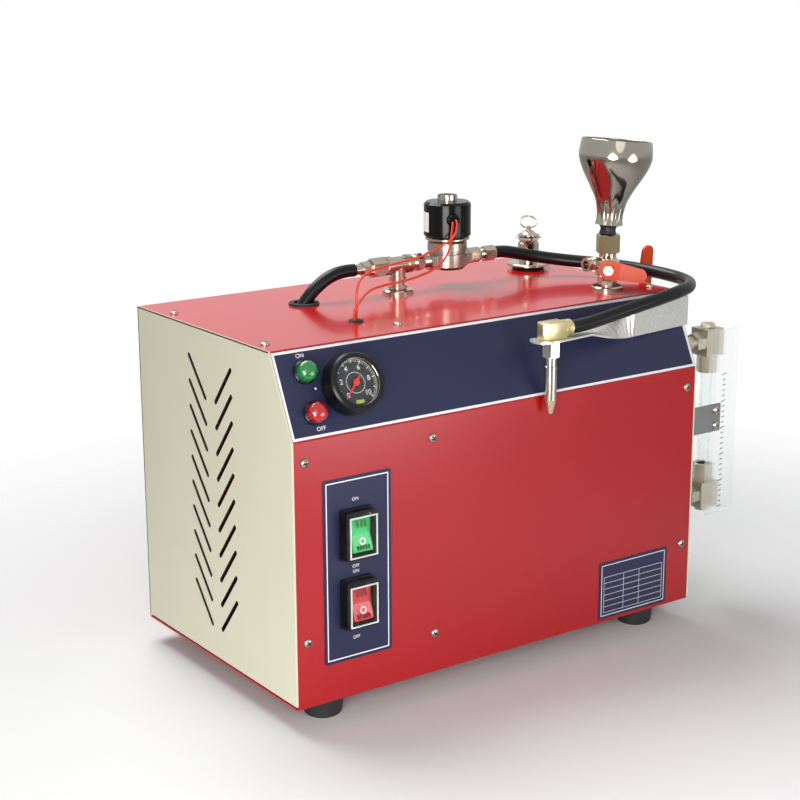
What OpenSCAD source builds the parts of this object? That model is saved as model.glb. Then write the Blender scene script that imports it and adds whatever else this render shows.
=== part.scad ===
// Counter-top steam cleaner for jewellery: sheet-metal casing, horizontal boiler, filling funnel,
// electric steam valve, steam hose with nozzle, side level gauge.
// Millimetres, +Z up. The floor is z = 0; x = 0 and y = 0 are the middle of everything but the hoses.

/* [Casing] */
// Width of the casing, left to right
casing_w = 410; // [400:1:430]
// Depth of the casing, front to back
casing_d = 240; // [236:1:252]
// Height of the casing without its feet
casing_h = 275; // [272:1:290]
// Height of the upright part of the front
front_h = 211; // [206:1:216]
// How far the sloping front leans back
slope_run = 30; // [24:1:34]
// Thickness of the casing sheet
sheet_t = 1.5; // [1.2:0.1:2]
// Width of the turned-in edges of the sheets
flange_w = 18; // [15:1:22]
// How far the side panels start above the casing's bottom
side_lift = 3; // [2:0.5:5]

/* [Feet] */
// Height of a foot
foot_h = 20; // [16:1:25]
// Diameter of a foot where it meets the casing
foot_d = 34; // [28:1:40]
// Distance from the casing's side to a foot's middle
foot_from_side = 40; // [30:1:60]
// Distance from the casing's front or back to a foot's middle
foot_from_front = 26; // [22:1:50]

/* [Side slots] */
// Rows of slots in the left side panel
slot_rows = 10; // [6:1:10]
// Rows of slots in the right side panel, below its valve
slot_rows_right = 8; // [5:1:8]
// Distance between two rows
slot_pitch = 21.1; // [19:0.1:21.5]
// Length of a slot, end to end
slot_l = 43; // [36:1:46]
// Width of a slot
slot_w = 4; // [3:0.5:5]
// Slope of a slot against the level, in degrees
slot_angle = 51; // [45:1:55]
// Middle of a slot from the middle of the panel
slot_off = 20.5; // [19:0.5:24]

/* [Switches] */
// Width of the plate behind the switches
plate_w = 62; // [54:1:64]
// Height of the plate behind the switches
plate_h = 147.5; // [140:0.5:150]
// Distance from the casing's left side to that plate
plate_from_left = 26; // [24:1:34]
// Height of the switch plate's lower edge above the casing's bottom
plate_from_bottom = 30.5; // [25:0.5:36]
// Thickness of the plates glued to the front
label_t = 0.6; // [0.4:0.1:1]
// Height of a switch's frame
switch_h = 41; // [39:1:44]
// Width of a switch's frame
switch_w = 30; // [29:1:33]
// Distance between the two switches
switch_pitch = 55.5; // [52:0.5:60]
// Height of the rocker
rocker_h = 27; // [24:0.5:28]
// Width of the rocker
rocker_w = 17; // [15:0.5:18]
// Half of the angle through which a rocker tips
rocker_tip = 10; // [6:1:12]

/* [Pressure gauge] */
// Outer diameter of the gauge's case
gauge_d = 46; // [43:1:50]
// How far the case stands out of the slope
gauge_proud = 18; // [15:1:20]
// Diameter of the dial
dial_d = 39; // [36:1:40]
// Distance from the casing's left side to the gauge's middle
gauge_from_left = 59; // [57:1:70]
// Distance from the casing's left side to the two lamps
lamp_from_left = 25; // [22:1:27]
// Distance between the two lamps
lamp_pitch = 31.5; // [26:0.5:34]
// Diameter of a lamp's lens
lamp_d = 15; // [12:0.5:17]

/* [Boiler] */
// Gap between the boiler and the casing's front and back
boiler_clear = 24; // [22:1:30]
// Length of the boiler's straight part
boiler_l = 222; // [210:1:226]
// Wall of the boiler
boiler_wall = 5; // [4:0.5:6]
// Height of the boiler's axis above the casing's bottom
boiler_z = 140; // [132:1:144]
// Distance from the casing's right side to the end of the boiler's straight part
boiler_from_right = 23; // [20:1:26]
// Height of the boiler's dished ends
dish_h = 12; // [9:1:14]

/* [Steam outlet] */
// Place of the steam outlet, to the right of the casing's middle
outlet_x = 4; // [0:1:8]
// Place of the steam outlet, behind the casing's middle
outlet_y = 41; // [38:1:44]
// Height of the pipe run above the casing's top
run_h = 24; // [23:1:27]
// Diameter of the steam valve's body
valve_d = 34.5; // [30:0.5:36]
// Height of the steam valve's body
valve_h = 24.6; // [22:0.2:27]
// Distance from the outlet to the steam valve's axis
valve_reach = 53; // [52:1:58]
// Diameter of the coil
coil_d = 41; // [36:0.5:44]
// Height of the coil
coil_h = 30.6; // [27:0.2:34]

/* [Safety valve] */
// Distance from the casing's right side to the safety valve
safety_from_right = 37.5; // [36:0.5:42]
// Distance from the casing's back to the safety valve
safety_from_back = 56; // [50:1:60]
// Diameter of the safety valve's body
safety_d = 19.2; // [17:0.2:21]
// Height of the safety valve's body above the casing's top
safety_h = 29; // [26:1:33]
// How far the stem lifts
safety_lift = 3; // [2:0.5:4]
// Diameter of the pull ring, middle of the wire
ring_d = 15; // [13:1:18]
// Thickness of the ring's wire
ring_wire = 1.4; // [1.2:0.1:1.8]

/* [Filling funnel] */
// Distance from the casing's right side to the filling valve
filler_from_right = 46; // [44:1:52]
// Distance from the slope's upper edge to the filling valve
filler_from_edge = 36; // [33:1:42]
// Height of the ball valve's axis above the casing's top
filler_axis_h = 20; // [18:1:22]
// Diameter of the funnel at its widest
funnel_d = 63; // [56:1:70]
// Height of the funnel
funnel_h = 74.5; // [66:0.5:84]
// Diameter of the funnel's neck
neck_d = 24; // [20:0.5:26]
// Thickness of the funnel's sheet
funnel_t = 0.8; // [0.6:0.1:1.2]
// Lean of the funnel to the right, in degrees
funnel_lean = 6; // [0:1:7]

/* [Ball valves] */
// Diameter of a ball
ball_d = 14; // [12:0.5:15]
// Diameter of a ball valve's bore
ball_bore_d = 8; // [6:0.5:9]
// Diameter of a ball valve's stem
stem_d = 5; // [4:0.5:6]
// Distance from a valve's pipe axis to its lever
lever_off = 18.5; // [18:0.5:20]
// Thickness of a lever with its grip
lever_t = 3; // [2:0.5:4]
// Width of a lever at its stem
lever_w = 16; // [14:0.5:17]
// Width of a lever at its tip
lever_tip_w = 12; // [9:0.5:13]
// Length of the filling valve's lever from its stem
filler_lever_l = 33; // [28:1:36]
// Length of the side valve's lever from its stem
side_lever_l = 46; // [38:1:50]

/* [Level gauge] */
// Distance from the casing's front to the level gauge's glass
level_from_front = 33.5; // [32:0.5:40]
// Distance from the right side panel to the glass
level_reach = 46; // [43:1:48]
// Height of the upper fitting above the casing's bottom
level_top = 222.5; // [218:0.5:226]
// Height of the lower fitting above the casing's bottom
level_bottom = 81.5; // [76:0.5:90]
// Diameter of the glass tube
glass_d = 11; // [9:0.5:12]
// Size of a level fitting's block
block_w = 20; // [18:1:22]
// Width of the guard, front to back
guard_w = 40; // [38:1:44]
// Thickness of the guard
guard_t = 3; // [2:0.5:4]

/* [Nozzle] */
// Distance from the casing's right side to the nozzle
nozzle_from_right = 170; // [160:1:180]
// How far the nozzle's axis stands before the casing's front
nozzle_out = 7; // [6.5:0.5:9]
// How far the nozzle's elbow sits below the casing's top
nozzle_below = 8; // [6:0.5:11]
// Size of the elbow's block
elbow_w = 14; // [12:0.5:16]
// Width of the strip that carries the nozzle
strip_w = 25; // [21:0.5:26]
// Thickness of that strip
strip_t = 1.6; // [1.2:0.1:2]

/* [Hoses] */
// Outer diameter of the hoses
hose_d = 11; // [9:0.5:11]
// Diameter of a coil wire
wire_d = 2; // [1.4:0.1:2]

/* [Clearances] */
// Gap round a fixed piece in its hole
seat_gap = 0.3; // [0.2:0.05:0.5]
// Gap round a turning or sliding shaft
run_gap = 0.08; // [0.05:0.01:0.1]

/* [Hidden] */
$fn = 48;

// Colours, as the photograph shows them.
red_paint = "#b01820";
cream_paint = "#e6e2d4";
navy = "#2f3358";
black_plastic = "#17181a";
nickel = "#b9b4a8";
steel = "#a8a8a4";
brass = "#c9a85a";
orange_grip = "#d8431b";

// Heights over the floor.
floor_z = foot_h;
top_z = foot_h + casing_h;
fold_z = foot_h + front_h;
left_x = -casing_w / 2;
right_x = casing_w / 2;
front_y = -casing_d / 2;
back_y = casing_d / 2;
inner_w = casing_w - 2 * sheet_t;

// The slope: its length, its angle and the two directions that lie in it.
slope_rise = top_z - fold_z;
slope_l = norm([slope_run, slope_rise]);
slope_angle = atan2(slope_rise, slope_run);
edge_y = front_y + slope_run;
slope_cut = sheet_t / sin(slope_angle);
function slope_y(z) = front_y + (z - fold_z) / tan(slope_angle);

// Half of the length of the cut that makes a hole in a sheet.
hole_reach = 5;

// Screws: distances from the casing's edges, as on the real casing.
screw_head_d = 7.2;
screw_shank_d = 3;
screw_l = 8;
screw_inset = 11;
front_screws = [[left_x + screw_inset, floor_z + 195], [left_x + 128, floor_z + 195],
    [right_x - screw_inset, floor_z + 195], [left_x + screw_inset, floor_z + 53],
    [left_x + 130, floor_z + 33], [right_x - screw_inset, floor_z + 53]];
top_screws = [[left_x + screw_inset, back_y - 44], [left_x + screw_inset, edge_y + 23],
    [left_x + 133, edge_y + 23], [right_x - screw_inset, edge_y + 19],
    [right_x - screw_inset, back_y - 44]];
rear_screws = [for (x = [left_x + screw_inset, 0, right_x - screw_inset], z = [floor_z + 30, floor_z + 235])
    [x, z]];

// The switches and the plate behind them.
switch_hole_w = switch_w - 2;
switch_hole_h = switch_h - 4;
plate_x = left_x + plate_from_left + plate_w / 2;
plate_z = floor_z + plate_from_bottom + plate_h / 2;
switch_mid_z = plate_z + 0.5;
switch_zs = [switch_mid_z + switch_pitch / 2, switch_mid_z - switch_pitch / 2];
switch_x = plate_x - 2;
frame_step = 3;
frame_front = 9;
window_gap = 1.2;
boot_wall = 1;
boot_inner_w = switch_w - 2 * boot_wall;
boot_inner_h = switch_h - 2 * boot_wall;
boot_front = 13;
rocker_face = 8;
rocker_axis = 2;
rocker_pin_d = 3;

// The rating plate.
rating_w = 78;
rating_h = 51;
rating_x = left_x + 304 + rating_w / 2;
rating_z = floor_z + 3 + rating_h / 2;

// The gauge and the lamps, on the slope.
gauge_x = left_x + gauge_from_left;
gauge_s = slope_l / 2;
lamp_x = left_x + lamp_from_left;
lamp_neck_d = 11.4;
lamp_deep = 14;
lamp_ss = [slope_l / 2 + lamp_pitch / 2, slope_l / 2 - lamp_pitch / 2];
gauge_back = 16;
gauge_neck_d = 40;
dial_level = gauge_proud - 5.5;
dial_t = 0.8;
lens_t = 1.2;
lens_level = gauge_proud - 2.4;
needle_t = 0.5;
needle_l = dial_d * 0.38;
spindle_d = 1.8;
needle_rest = 225;
gauge_stem_d = 10;
gauge_stem_l = 14;

// The boiler.
boiler_r = casing_d / 2 - boiler_clear;
boiler_axis_z = floor_z + boiler_z;
boiler_x1 = right_x - boiler_from_right;
boiler_x0 = boiler_x1 - boiler_l;
boss_d = 26;
dish_from = 60;
elbow_x = right_x - 55;
corner_w = 17;
heater_x = boiler_x0 - dish_h - 5;
heater_z = boiler_axis_z - 30;
heater_flange_d = 76;
heater_hole_d = 52;
switch_port_x = boiler_x0 - dish_h - 4;
switch_port_y = 30;
switch_port_z = boiler_axis_z + 48;
saddle_xs = [boiler_x0 + 30, boiler_x1 - 52];
saddle_foot = 22;
side_washer_t = 2;
side_washer_d = 22;
pipe_root = 40;
side_hole_d = 14;

// The relay, on the floor beside the boiler.
relay_socket = [50, 48, 14];
relay_h = 42;
relay_x = left_x + 62;
relay_y = 50;

// Places of what comes out of the casing's top.
safety_x = right_x - safety_from_right;
safety_y = back_y - safety_from_back;
filler_x = right_x - filler_from_right;
filler_y = edge_y + filler_from_edge;
riser_d = 12.3;
riser_bore_d = 8;
panel_hole_d = 18;
washer_d = 27.5;
washer_t = 3;
run_z = top_z + run_h;
run_bore_d = 7;
tee_d = 16;
tee_drop = 14;
tee_x0 = outlet_x - 13.4;
tee_x1 = outlet_x + 12.8;
nut_gap_x0 = tee_x0 - 15.4;
barb_hex_x0 = nut_gap_x0 - 9;
barb_x0 = barb_hex_x0 - 7.2;
valve_x = outlet_x + valve_reach;
port_reach = valve_d / 2 + 4;
valve_z0 = run_z - 8.3;
valve_z1 = valve_z0 + valve_h;
coil_z0 = valve_z1 + 3.5;
coil_z1 = coil_z0 + coil_h;
armature_d = 14;
core_d = 15;
plunger_l = 34;
plunger_stroke = 3;
coil_lead_turn = 23;
coil_lead_z = coil_z0 + coil_h * 0.55;
coil_lead_d = 9;
coil_lead_out = 3;
nipple_d = 12;
out_nipple_d = 8;
steam_start = 108;

// The safety valve.
safety_boss_h = 3.6;
safety_disc_d = 39;
safety_disc_t = 2.2;
safety_cap_z = top_z + safety_h + 1;
safety_stem_d = 3.6;
safety_dome_h = 6;
knob_z = safety_cap_z + safety_dome_h + 1.5;
knob_r = 2.8;
eye_d = 3.2;
ring_turn = -35;
ring_lean = 52;

// The filling valve and the funnel.
filler_z = top_z + filler_axis_h;
filler_hex_af = 15;
filler_body_d = 21;
filler_body_z1 = filler_z + 7;
neck_thread_d = 14.5;
filler_bottom = top_z + washer_t + 1 - filler_z;
funnel_nut_af = 18.6;
funnel_nut_h = 16;
funnel_nut_z = filler_body_z1 + 5;
neck_top = funnel_nut_z + 8;
seal_z = funnel_nut_z + funnel_nut_h;
seal_h = 8;
seal_d = 13.6;
plug_h = 9;
neck_h = 14;
funnel_z = seal_z + seal_h;
vent_z = filler_z + 3.5;
vent_d = 12;
vent_l = 25;
vent_deep = 1.8;
filler_turn = -40;
lever_droop = 9;
grip_crank = 10;
ball_gap = 0.3;
stem_out = lever_off + lever_t + 5;

// The side valve.
side_valve_y = -3;
side_valve_z = floor_z + 256;
side_valve_reach = 27;
side_valve_x = right_x + side_valve_reach;
side_bottom = side_washer_t - side_valve_reach;
side_body_d = 20;

// The level gauge on the right side.
level_y = front_y + level_from_front;
level_x = right_x + level_reach;
level_shank_d = 12;
level_nut_af = 16;
level_nut_h = 16;
level_block_h = 24;
level_zs = [floor_z + level_top, floor_z + level_bottom];
glass_in = 3;
glass_z0 = level_zs[1] + level_block_h / 2 - glass_in + 0.5;
glass_z1 = level_zs[0] - level_block_h / 2 + glass_in - 0.5;
glass_wall = 2;
guard_x = level_x + 19;
guard_side = 33;
guard_z0 = level_zs[1] - 14;
guard_z1 = level_zs[0] + 13;
bracket_z = (guard_z0 + guard_z1) / 2 + 6;
bracket_h = 25;
bracket_t = 1.5;
guard_screw_at = [for (z = [-7, 7]) [guard_x - guard_side + 6, bracket_z + z]];

// Vertical pipes from the boiler: x, y and the height of their seats on it; pipes to the right side.
function boiler_top(y) = boiler_axis_z + sqrt(boiler_r * boiler_r - y * y);
risers = [for (p = [[outlet_x, outlet_y], [safety_x, safety_y], [filler_x, filler_y]])
    [p[0], p[1], boiler_top(abs(p[1]) - boss_d / 2) + 2]];
side_pipes = [[side_valve_y, side_valve_z], [level_y, level_zs[0]], [level_y, level_zs[1]]];

// Back: cable gland and pedal socket.
gland_x = right_x - 60;
gland_z = floor_z + 40;
gland_thread_d = 16;
pedal_x = right_x - 110;
pedal_thread_d = 18;

// The nozzle and its strip.
nozzle_x = right_x - nozzle_from_right;
nozzle_front_y = front_y - nozzle_out;
elbow_z = top_z - nozzle_below;
tab_z = elbow_z - elbow_w / 2;
strip_mid_z = tab_z - strip_t / 2;
strip_foot = 30;
strip_bend = 3;
strip_clear = 3.7;
twist_from = 0.4;
twist_to = 0.78;
twist_steps = 12;
stud_d = 8;
stud_l = 11;
ferrule_out = 20;
strip_x1 = right_x + strip_t / 2;
strip_y1 = slope_y(strip_mid_z - strip_w / 2) - strip_clear;
tab_w = 21;
tip_nut_af = 13.4;
tip_nut_h = 13;
tip_tube_d = 10.5;
tip_l = 60;
tip_bore_d = 2.4;

// Middle of the whole thing without its hoses.
reach_right = guard_x - right_x;
reach_front = nozzle_out + tab_w / 2;
reach_back = 14;
casing_x = -reach_right / 2;
casing_y = (reach_front - reach_back) / 2;

// Routes of the hoses and wires, from the casing's middle and the floor; each end lies on its fitting's axis.
steam_route = [[108, 41, 319], [114, 41, 319], [124, 40.3, 318], [138, 36.5, 315], [155, 27, 311.5],
    [172, 13, 309], [188, -5, 307.5], [202, -26, 306], [212, -49, 304.5], [215, -73, 303.5], [211, -96, 303],
    [198, -115, 303], [176, -127, 302.5], [150, -130, 299.5], [124, -129, 295.5],
    [98, -127.5, 291], [77, -127, 288], [62, -127, 287], [55, -127, 287]];
gauge_route = [[-41, 41, 319], [-50, 41, 319], [-64, 41, 316.5], [-77, 42, 309], [-87, 43.5, 299],
    [-95, 45, 286], [-103, 45, 270], [-111, 38, 252], [-121, 22, 238], [-132, -2, 229],
    [-141, -30, 230], [-145, -52, 238.5], [-146, -71.5, 248]];
wire_routes = [
    [[49.3, 18.7, 355.6], [48.4, 16.6, 355.6], [46.3, 13, 351.5], [41, 10, 344], [28, 8, 338],
     [4, 1, 333], [-24, -9, 332], [-54, -21, 332], [-78, -31, 330], [-88, -36, 325],
     [-91.5, -38, 316], [-92, -38.5, 306], [-92, -38.5, 297]],
    [[46.3, 19.9, 354], [45.4, 17.8, 354], [42, 14.5, 347], [39, 12, 338.5], [30, 6.5, 328],
     [14, 0, 321], [-8, -8, 318], [-34, -18, 317.5], [-60, -27, 318], [-80, -36.5, 316.5],
     [-91, -42, 311.5], [-96, -41.5, 304], [-96, -41.5, 297]]];
gauge_hose_hole = [-89.5, 44];
wire_hole = [-93.5, -39.5];
hose_grommet_d = hose_d + 10.4;
wire_grommet_d = 9.4;

// ---------- helpers ----------

// Moves a piece from the casing's middle to the part's own origin.
module at_casing() {
    translate([casing_x, casing_y, 0]) children();
}

// Puts a piece on the upright front, z pointing out of it.
module on_front(x, z) {
    translate([x, front_y, z]) rotate([90, 0, 0]) children();
}

// Puts a piece on the back, z pointing out of it.
module on_back(x, z) {
    translate([x, back_y, z]) rotate([-90, 0, 0]) children();
}

// Puts a piece on the slope at a distance up from the fold, z pointing out of it.
module on_slope(x, up) {
    translate([x, front_y + up * cos(slope_angle), fold_z + up * sin(slope_angle)])
        rotate([slope_angle, 0, 0]) children();
}

// Turns a piece so that its z axis points along +X.
module along_x() {
    rotate([0, 90, 0]) children();
}

// Extrudes an outline in the YZ plane along X, about the middle.
module side_profile(width) {
    rotate([90, 0, 90]) linear_extrude(width, center = true) children();
}

// A flat plate with round corners, standing on z = 0.
module rounded_plate(w, h, t, r) {
    linear_extrude(t) {
        square([w - 2 * r, h], center = true);
        square([w, h - 2 * r], center = true);
        for (x = [-1, 1], y = [-1, 1]) translate([x * (w / 2 - r), y * (h / 2 - r)]) circle(r);
    }
}

// A hexagon with its corners turned off at both ends.
module hex_bar(af, h, bevel = 0.8) {
    corner = af / cos(30) / 2;
    intersection() {
        cylinder(r = corner, h = h, $fn = 6);
        rotate_extrude() polygon([[0, 0], [corner - bevel, 0], [corner, bevel * 0.6],
            [corner, h - bevel * 0.6], [corner - bevel, h], [0, h]]);
    }
}

// A pan-head screw with its head on z = 0.
module pan_screw(head_d, shank_d, l) {
    head_h = head_d * 0.32;
    rotate_extrude() polygon(concat([[0, -l], [shank_d / 2, -l], [shank_d / 2, 0]],
        [for (a = [0:15:90]) [head_d / 2 * cos(a), head_h * (0.25 + 0.75 * sin(a)) * (a > 0 ? 1 : 0)]]));
}

function unit(v) = v / norm(v);
function turned(a, b) = let (s = a + b) norm(s) > 0.001 ? unit(s) : unit(a);
function headings(p) = [for (i = [0:len(p) - 1])
    i == 0 ? unit(p[1] - p[0])
    : i == len(p) - 1 ? unit(p[i] - p[i - 1])
    : turned(unit(p[i] - p[i - 1]), unit(p[i + 1] - p[i]))];
function square_to(n, t) = unit(n - (n * t) * t);
function sideways(t, first) = [for (i = 0, n = square_to(first, t[0]); i < len(t);
    i = i + 1, n = square_to(n, t[min(i, len(t) - 1)])) n];

// A hole through a sheet on z = 0, for a piece of the given diameter.
module hole(d) cylinder(d = d + 2 * seat_gap, h = 2 * hole_reach, center = true);

// A closed skin over rings of equal numbers of points, listed one ring after the other.
module skin(rings, sides) {
    last = len(rings) - sides;
    walls = [for (a = [0:sides:last - 1], k = [0:sides - 1])
        let (b = (k + 1) % sides)
        each [[a + k, a + k + sides, a + b], [a + b, a + k + sides, a + b + sides]]];
    polyhedron(rings, concat(walls, [[for (k = [0:sides - 1]) k]],
        [[for (k = [sides - 1:-1:0]) last + k]]), convexity = 10);
}

// A tube swept along a route, one ring at each of its points.
module swept_tube(route, d, sides) {
    t = headings(route);
    n = sideways(t, [0, 0.1, 1]);
    skin([for (i = [0:len(route) - 1], k = [0:sides - 1])
        let (b = cross(t[i], n[i]), a = 360 * k / sides)
        route[i] + d / 2 * (cos(a) * n[i] + sin(a) * b)], sides);
}

// ---------- casing ----------

module base_tray() color(red_paint) at_casing() {
    lip_x = inner_w / 2;
    lip_y = casing_d / 2 - sheet_t;
    translate([-casing_w / 2, -lip_y, floor_z]) cube([casing_w, 2 * lip_y, sheet_t]);
    for (s = [-1, 1]) {
        translate([s * (lip_x - sheet_t / 2), 0, floor_z + flange_w / 2])
            cube([sheet_t, 2 * lip_y - 2 * sheet_t, flange_w], center = true);
        translate([0, s * (lip_y - sheet_t / 2), floor_z + flange_w / 2])
            cube([inner_w - 2 * flange_w - 4 * sheet_t, sheet_t, flange_w], center = true);
    }
}

// The hole that a switch is pressed into.
module switch_cutout() cube([switch_hole_w, switch_hole_h, 2 * hole_reach], center = true);

module front_panel() color(red_paint) at_casing() {
    flange_y = edge_y + flange_w + 14;
    difference() {
        union() {
            side_profile(inner_w) polygon([[front_y, floor_z], [front_y, fold_z], [edge_y, top_z],
                [edge_y + slope_cut, top_z], [edge_y + slope_cut, top_z - sheet_t],
                [edge_y + slope_cut - 2 * sheet_t / tan(slope_angle), top_z - 2 * sheet_t],
                [front_y + sheet_t, fold_z + (sheet_t - slope_cut) * tan(slope_angle)],
                [front_y + sheet_t, floor_z]]);
            side_profile(inner_w - 2 * flange_w - 4) polygon([
                [edge_y + slope_cut - sheet_t, top_z - 2 * sheet_t], [edge_y + slope_cut, top_z - sheet_t],
                [flange_y, top_z - sheet_t], [flange_y, top_z - 2 * sheet_t]]);
        }
        for (z = switch_zs) on_front(switch_x, z) switch_cutout();
        on_slope(gauge_x, gauge_s) hole(gauge_neck_d);
        for (s = lamp_ss) on_slope(lamp_x, s) hole(lamp_neck_d);
        for (p = front_screws) on_front(p[0], p[1]) hole(screw_shank_d);
        translate([top_screws[2][0], top_screws[2][1], top_z]) hole(screw_shank_d);
        translate([filler_x, filler_y, top_z]) hole(panel_hole_d);
    }
}

module top_cover() color(red_paint) at_casing() {
    cover_y0 = edge_y + slope_cut;
    difference() {
        translate([-inner_w / 2, cover_y0, top_z - sheet_t]) cube([inner_w, back_y - cover_y0, sheet_t]);
        for (p = risers) translate([p[0], p[1], top_z]) hole(panel_hole_d);
        translate([gauge_hose_hole[0], gauge_hose_hole[1], top_z]) hole(hose_grommet_d);
        translate([wire_hole[0], wire_hole[1], top_z]) hole(wire_grommet_d);
        for (p = top_screws) translate([p[0], p[1], top_z]) hole(screw_shank_d);
    }
}

module rear_panel() color(red_paint) at_casing() {
    difference() {
        union() {
            translate([-inner_w / 2, back_y - sheet_t, floor_z]) cube([inner_w, sheet_t, casing_h - sheet_t]);
            translate([-inner_w / 2 + flange_w + 2, back_y - sheet_t - flange_w, top_z - 2 * sheet_t])
                cube([inner_w - 2 * flange_w - 4, flange_w, sheet_t]);
        }
        for (p = rear_screws) on_back(p[0], p[1]) hole(screw_shank_d);
        on_back(gland_x, gland_z) hole(gland_thread_d);
        on_back(pedal_x, gland_z) hole(pedal_thread_d);
    }
}

// A side panel, drawn as the left one with its outside on x = 0 and its flanges towards +X.
module side_panel(rows) {
    y0 = front_y;
    side_z = floor_z + side_lift;
    difference() {
        union() {
            translate([sheet_t / 2, 0, 0]) side_profile(sheet_t) polygon([[y0, side_z], [y0, fold_z],
                [edge_y, top_z], [back_y, top_z], [back_y, side_z]]);
            translate([sheet_t, edge_y + slope_cut, top_z - 2 * sheet_t])
                cube([flange_w, back_y - sheet_t - edge_y - slope_cut, sheet_t]);
            translate([sheet_t, y0 + sheet_t, floor_z + flange_w + 4])
                cube([flange_w, sheet_t, front_h - flange_w - 8]);
            translate([sheet_t, back_y - 2 * sheet_t, floor_z + flange_w + 4])
                cube([flange_w, sheet_t, casing_h - flange_w - 4 - 2 * sheet_t]);
        }
        for (i = [0:rows - 1], s = [-1, 1])
            translate([0, s * slot_off, floor_z + 45 + i * slot_pitch])
                rotate([s * slot_angle, 0, 0]) rotate([0, 90, 0]) linear_extrude(20, center = true) {
                    square([slot_w, slot_l - slot_w], center = true);
                    for (e = [-1, 1]) translate([0, e * (slot_l - slot_w) / 2]) circle(d = slot_w);
                }
        for (p = top_screws) translate([screw_inset, p[1], top_z]) hole(screw_shank_d);
        for (p = front_screws) on_front(screw_inset, p[1]) hole(screw_shank_d);
        for (p = rear_screws) on_back(screw_inset, p[1]) hole(screw_shank_d);
        children();
    }
}

module side_panel_left() color(cream_paint) at_casing() translate([left_x, 0, 0]) side_panel(slot_rows);

module side_panel_right() color(cream_paint) at_casing() translate([right_x, 0, 0]) mirror([1, 0, 0])
    side_panel(slot_rows_right) {
        for (p = side_pipes) translate([0, p[0], p[1]]) along_x() hole(side_hole_d);
    }

module feet() color(black_plastic) at_casing() {
    for (x = [left_x + foot_from_side, right_x - foot_from_side],
         y = [front_y + foot_from_front, back_y - foot_from_front])
        translate([x, y, 0]) rotate_extrude() polygon([[0, 0], [foot_d / 2 - 3.5, 0], [foot_d / 2 - 2, 1.5],
            [foot_d / 2, foot_h - 2], [foot_d / 2 - 0.6, foot_h], [0, foot_h]]);
}

module casing_screws() color(nickel) at_casing() {
    for (p = front_screws) on_front(p[0], p[1]) pan_screw(screw_head_d, screw_shank_d, screw_l);
    for (p = top_screws) translate([p[0], p[1], top_z]) pan_screw(screw_head_d, screw_shank_d, screw_l);
    for (p = rear_screws) on_back(p[0], p[1]) pan_screw(screw_head_d, screw_shank_d, screw_l);
}

// ---------- front ----------

module control_overlay() color(navy) at_casing() {
    margin = 1.5;
    difference() {
        on_slope(0, slope_l / 2) translate([0, 0, label_t / 2])
            cube([casing_w - 2 * margin, slope_l - 2 * margin, label_t], center = true);
        on_slope(gauge_x, gauge_s) hole(gauge_neck_d);
        for (s = lamp_ss) on_slope(lamp_x, s) hole(lamp_neck_d);
    }
}

module switch_plate() color(navy) at_casing() {
    difference() {
        on_front(plate_x, plate_z) rounded_plate(plate_w, plate_h, label_t, 2);
        for (z = switch_zs) on_front(switch_x, z) switch_cutout();
        on_front(front_screws[4][0], front_screws[4][1]) hole(screw_head_d);
    }
}

module rating_plate() color(navy) at_casing() {
    on_front(rating_x, rating_z) rounded_plate(rating_w, rating_h, label_t, 1.5);
}

module gauge_case() color(black_plastic) at_casing() on_slope(gauge_x, gauge_s) {
    lens_seat = lens_level + lens_t;
    bezel_z = label_t + seat_gap;
    difference() {
        rotate_extrude() polygon([[0, -gauge_back], [gauge_neck_d / 2 - 3, -gauge_back],
            [gauge_neck_d / 2, -gauge_back + 3], [gauge_neck_d / 2, bezel_z], [gauge_d / 2 - 0.8, bezel_z],
            [gauge_d / 2, bezel_z + 0.8], [gauge_d / 2, gauge_proud - 1.5], [gauge_d / 2 - 1.5, gauge_proud],
            [dial_d / 2 - 1.2, gauge_proud], [dial_d / 2 - 1.2, lens_seat],
            [dial_d / 2 + 0.3, lens_seat], [dial_d / 2 + 0.3, dial_level], [0, dial_level]]);
        translate([0, 0, dial_level - 6]) cylinder(d = spindle_d + 2 * run_gap, h = 7);
    }
    translate([0, 0, -gauge_back - gauge_stem_l]) hex_bar(gauge_stem_d, gauge_stem_l);
}

module gauge_dial() color("white") at_casing() on_slope(gauge_x, gauge_s) translate([0, 0, dial_level])
    difference() {
        cylinder(d = dial_d, h = dial_t);
        translate([0, 0, -1]) cylinder(d = spindle_d + 0.6, h = 3);
    }

module gauge_lens() color([0.85, 0.9, 0.9, 0.4]) at_casing() on_slope(gauge_x, gauge_s)
    translate([0, 0, lens_level]) cylinder(d = dial_d, h = lens_t);

module gauge_needle() color("red") at_casing() on_slope(gauge_x, gauge_s) {
    needle_z = dial_level + dial_t + 0.6;
    hub_d = 4.4;
    translate([0, 0, dial_level - 5]) cylinder(d = spindle_d, h = 5 + dial_t + 0.6);
    translate([0, 0, needle_z]) {
        cylinder(d = hub_d, h = needle_t + 0.3);
        rotate(needle_rest) linear_extrude(needle_t)
            polygon([[-needle_l * 0.42, -0.9], [-needle_l * 0.42, 0.9], [0, 1], [needle_l, 0.25],
                [needle_l, -0.25], [0, -1]]);
    }
}

module lamp_bezels() color(black_plastic) at_casing() for (s = lamp_ss) on_slope(lamp_x, s) {
    neck_r = lamp_neck_d / 2 - 0.1;
    rotate_extrude() polygon([[0, -lamp_deep], [neck_r, -lamp_deep], [neck_r, label_t + seat_gap],
        [lamp_d / 2 + 1.6, label_t + seat_gap], [lamp_d / 2 + 1.6, 2.4], [lamp_d / 2 + 0.6, 3.4],
        [lamp_d / 2 - 1, 3.4], [lamp_d / 2 - 1, 2.4], [0, 2.4]]);
    for (y = [-2.5, 2.5]) translate([0, y, -lamp_deep - 2.5]) cube([0.8, 3, 5], center = true);
}

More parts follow.
